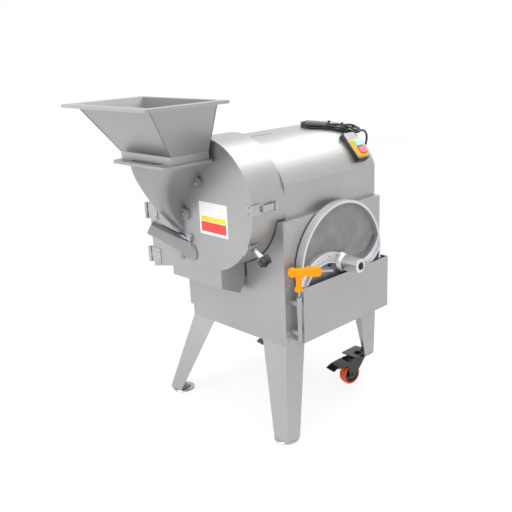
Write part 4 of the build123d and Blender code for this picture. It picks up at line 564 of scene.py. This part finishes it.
def flat_patch(name, left, right, bottom, top, lift, material):
    """Thin plate with rounded corners on the door face."""
    bm = bmesh.new()
    radius = CORNER_RADIUS
    outline = []
    for x, z, start in ((right - radius, top - radius, 0), (left + radius, top - radius, 90),
                        (left + radius, bottom + radius, 180), (right - radius, bottom + radius, 270)):
        for step in range(CORNER_STEPS):
            angle = math.radians(start + 90 / (CORNER_STEPS - 1) * step)
            outline.append((x + radius * math.cos(angle), z + radius * math.sin(angle)))
    front = [bm.verts.new(at(x, DOOR_FACE - lift, z)) for x, z in outline]
    back = [bm.verts.new(at(x, DOOR_FACE, z)) for x, z in outline]
    bm.faces.new(front)
    for i in range(len(outline)):
        j = (i + 1) % len(outline)
        bm.faces.new((front[i], back[i], back[j], front[j]))
    bmesh.ops.recalc_face_normals(bm, faces=bm.faces)
    return mesh_object(name, bm, material, "door")


def add_door_plate():
    """Plain white plate on the door with a yellow and a red band."""
    white = moulded("white printed film", "dcdce2", "e6e6ea", *FILM_FINISH)
    yellow = moulded("yellow printed band", "e2c414", "ead02a", *FILM_FINISH)
    red = moulded("red printed band", "dc2a24", "e63a32", *FILM_FINISH)
    outer = (PLATE_LEFT, PLATE_RIGHT, PLATE_BOTTOM, PLATE_TOP, PLATE_LIFT)
    inner = (PLATE_LEFT + BAND_MARGIN, PLATE_RIGHT - BAND_MARGIN)
    flat_patch("door_plate", *outer, white)
    upper = flat_patch("door_plate_yellow", *inner, *YELLOW_BAND, BAND_LIFT, yellow)
    flat_patch("door_plate_red", *inner, *RED_BAND, BAND_LIFT, red)


# Clamp knob
CLAMP_PLACE = (0, -74, 745)
CLAMP_TURN = math.radians(-34)
COLLAR_RADIUS = 9.6
COLLAR_END = 257.0


def steel_collar(material):
    """Gives the collar of the clamp knob a bright steel face, below its plastic head."""
    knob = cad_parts["clamp_knob"]
    knob.data.materials.append(material)
    outward = Vector((math.cos(CLAMP_TURN), 0, math.sin(CLAMP_TURN)))
    for face in knob.data.polygons:
        spot = knob.matrix_world @ face.center - at(*CLAMP_PLACE)
        along = spot.dot(outward)
        if along < COLLAR_END * MM and (spot - outward * along).length < COLLAR_RADIUS * MM:
            face.material_index = 1


# Dark lines of painted shade down the hopper's outer corners, each from its lower to its upper end
SHADE_LINE_RADIUS = 0.7
SHADE_LINE_SIDES = 10
HOPPER_CORNERS = (
    ((-202.5, -263.3, 918.6), (-260.2, -370, 1068)),
    ((47.5, -263.3, 918.6), (105.2, -370, 1068)),
    ((47.5, -119.7, 918.6), (105.2, -123.3, 1068)),
)


def add_hopper_corner_shade_lines():
    """Thin dark steel tubes down the outer corners of the hopper: painted shade along its corner edges."""
    # The dark colour here is painted shade along the hopper's corner edges.
    material = steel("painted corner shade", "4c4c4e", "5a5a5c", (0.45, 0.55), 0.1, 500)
    bm = bmesh.new()
    for low, high in HOPPER_CORNERS:
        foot, top = at(*low), at(*high)
        run = top - foot
        turned = run.to_track_quat("Z", "Y").to_matrix().to_4x4()
        bmesh.ops.create_cone(bm, cap_ends=True, segments=SHADE_LINE_SIDES, radius1=SHADE_LINE_RADIUS * MM,
                              radius2=SHADE_LINE_RADIUS * MM, depth=run.length,
                              matrix=Matrix.Translation((foot + top) / 2) @ turned)
    mesh_object("hopper_corner_shade_lines", bm, material, "door")


# Screws of the spare disc's arms, each by its angle round the middle of its arm's arc
ARM_RADIUS = 127.0
ARM_SCREWS = (213, 238, 260)
ARM_TURN = math.radians(-42.7)
PAD_HEIGHT = 21.0
SCREW_RADIUS = 3.6
SCREW_TAPER = 0.7
SCREW_HEIGHT = 2.2
SCREW_SIDES = 18


def add_disc_screws(material):
    """Small round screw heads along the channel of each arm of the spare disc."""
    low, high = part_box("spare_disc")
    sideways = Matrix.Rotation(math.pi / 2, 4, "Y")
    bm = bmesh.new()
    for turn in (0, math.pi):
        for angle in ARM_SCREWS:
            x = ARM_RADIUS * (1 + math.cos(math.radians(angle)))
            y = ARM_RADIUS * math.sin(math.radians(angle))
            c, s = math.cos(ARM_TURN + turn), math.sin(ARM_TURN + turn)
            x, y = x * c - y * s, x * s + y * c
            place = Vector((low.x + PAD_HEIGHT * MM, (low.y + high.y) / 2 + y * MM,
                            (low.z + high.z) / 2 - x * MM))
            bmesh.ops.create_cone(bm, cap_ends=True, segments=SCREW_SIDES, radius1=SCREW_RADIUS * MM,
                                  radius2=SCREW_TAPER * SCREW_RADIUS * MM, depth=SCREW_HEIGHT * MM,
                                  matrix=Matrix.Translation(place) @ sideways)
    mesh_object("disc_pad_screws", bm, material, "spare")


# Studio
FLOOR_SIZE = 6
FLOOR_WHITENESS = 0.85
ROOM_TONES = (0.5, 0.5, 0.5, 1), (1.1, 1.1, 1.1, 1)
ROOM_RISE = (0.4, 0.85)
LAMPS = (
    ("key", (-300, -2200, 2600), (0, 0, 600), (2.2, 1.6), 62),
    ("fill", (2600, -200, 1500), (0, 200, 600), (1.8, 1.8), 3),
    ("top", (300, 400, 3000), (0, 200, 600), (2.4, 2.4), 34),
    ("back", (100, 2000, 2700), (0, 200, 900), (1.6, 1.2), 17),
    ("front", (-2100, -1700, 900), (0, 0, 700), (1.6, 1.2), 3),
)


def white_rays(m):
    """One for rays that see the studio itself: from the camera, off gloss and through glass."""
    rays = m.add("ShaderNodeLightPath").outputs
    seen = rays["Is Camera Ray"]
    for kind in ("Is Glossy Ray", "Is Transmission Ray"):
        both = m.add("ShaderNodeMath", {"operation": "MAXIMUM"})
        m.tree.links.new(seen, both.inputs[0])
        m.tree.links.new(rays[kind], both.inputs[1])
        seen = both.outputs[0]
    return seen


def add_stage():
    """White floor under soft studio light, white like the background where the studio is seen."""
    bm = bmesh.new()
    bmesh.ops.create_grid(bm, x_segments=1, y_segments=1, size=FLOOR_SIZE)
    m = new_material("pale studio floor")
    shader = m.add("ShaderNodeBsdfPrincipled", Base_Color=rgb("f4f4f4"), Roughness=0.9)
    glow = m.add("ShaderNodeEmission", Color=(1, 1, 1, 1), Strength=1.0)
    material = m.finish_mix(m.span(white_rays(m), 0.0, FLOOR_WHITENESS), shader, glow)
    add_object("floor", mesh_data("floor", bm, material))


def add_lamp(name, place, target, size, power):
    """Soft area light aimed at a point."""
    data = bpy.data.lights.new(name, "AREA")
    data.shape = "RECTANGLE"
    data.size, data.size_y = size
    data.energy = power
    lamp = add_object(name, data)
    lamp.location = at(*place)
    lamp.rotation_euler = (at(*target) - at(*place)).to_track_quat("-Z", "Y").to_euler()


def add_world():
    """White to the camera and to gloss, and a soft grey room with a bright ceiling to the rest."""
    world = bpy.data.worlds.new("studio")
    bpy.context.scene.world = world
    m = Nodes(world, "ShaderNodeOutputWorld")
    split = m.add("ShaderNodeSeparateXYZ", Vector=m.coordinates["Generated"])
    height = m.add("ShaderNodeMapRange", Value=split.outputs["Z"], From_Min=-1).outputs[0]
    room = m.add("ShaderNodeBackground", Color=m.ramp(height, *ROOM_TONES, *ROOM_RISE))
    white = m.add("ShaderNodeBackground", Color=(1, 1, 1, 1))
    m.finish_mix(white_rays(m), room, white)


add_camera()
add_cable()
dress_nodes()
soften_edges()
add_door_plate()
steel_collar(smooth_steel())
add_disc_screws(smooth_steel())
# Painted shade lines down the hopper's corners
add_hopper_corner_shade_lines()
add_stage()
add_world()
for lamp in LAMPS:
    add_lamp(*lamp)
bpy.context.scene.view_settings.view_transform = "Standard"
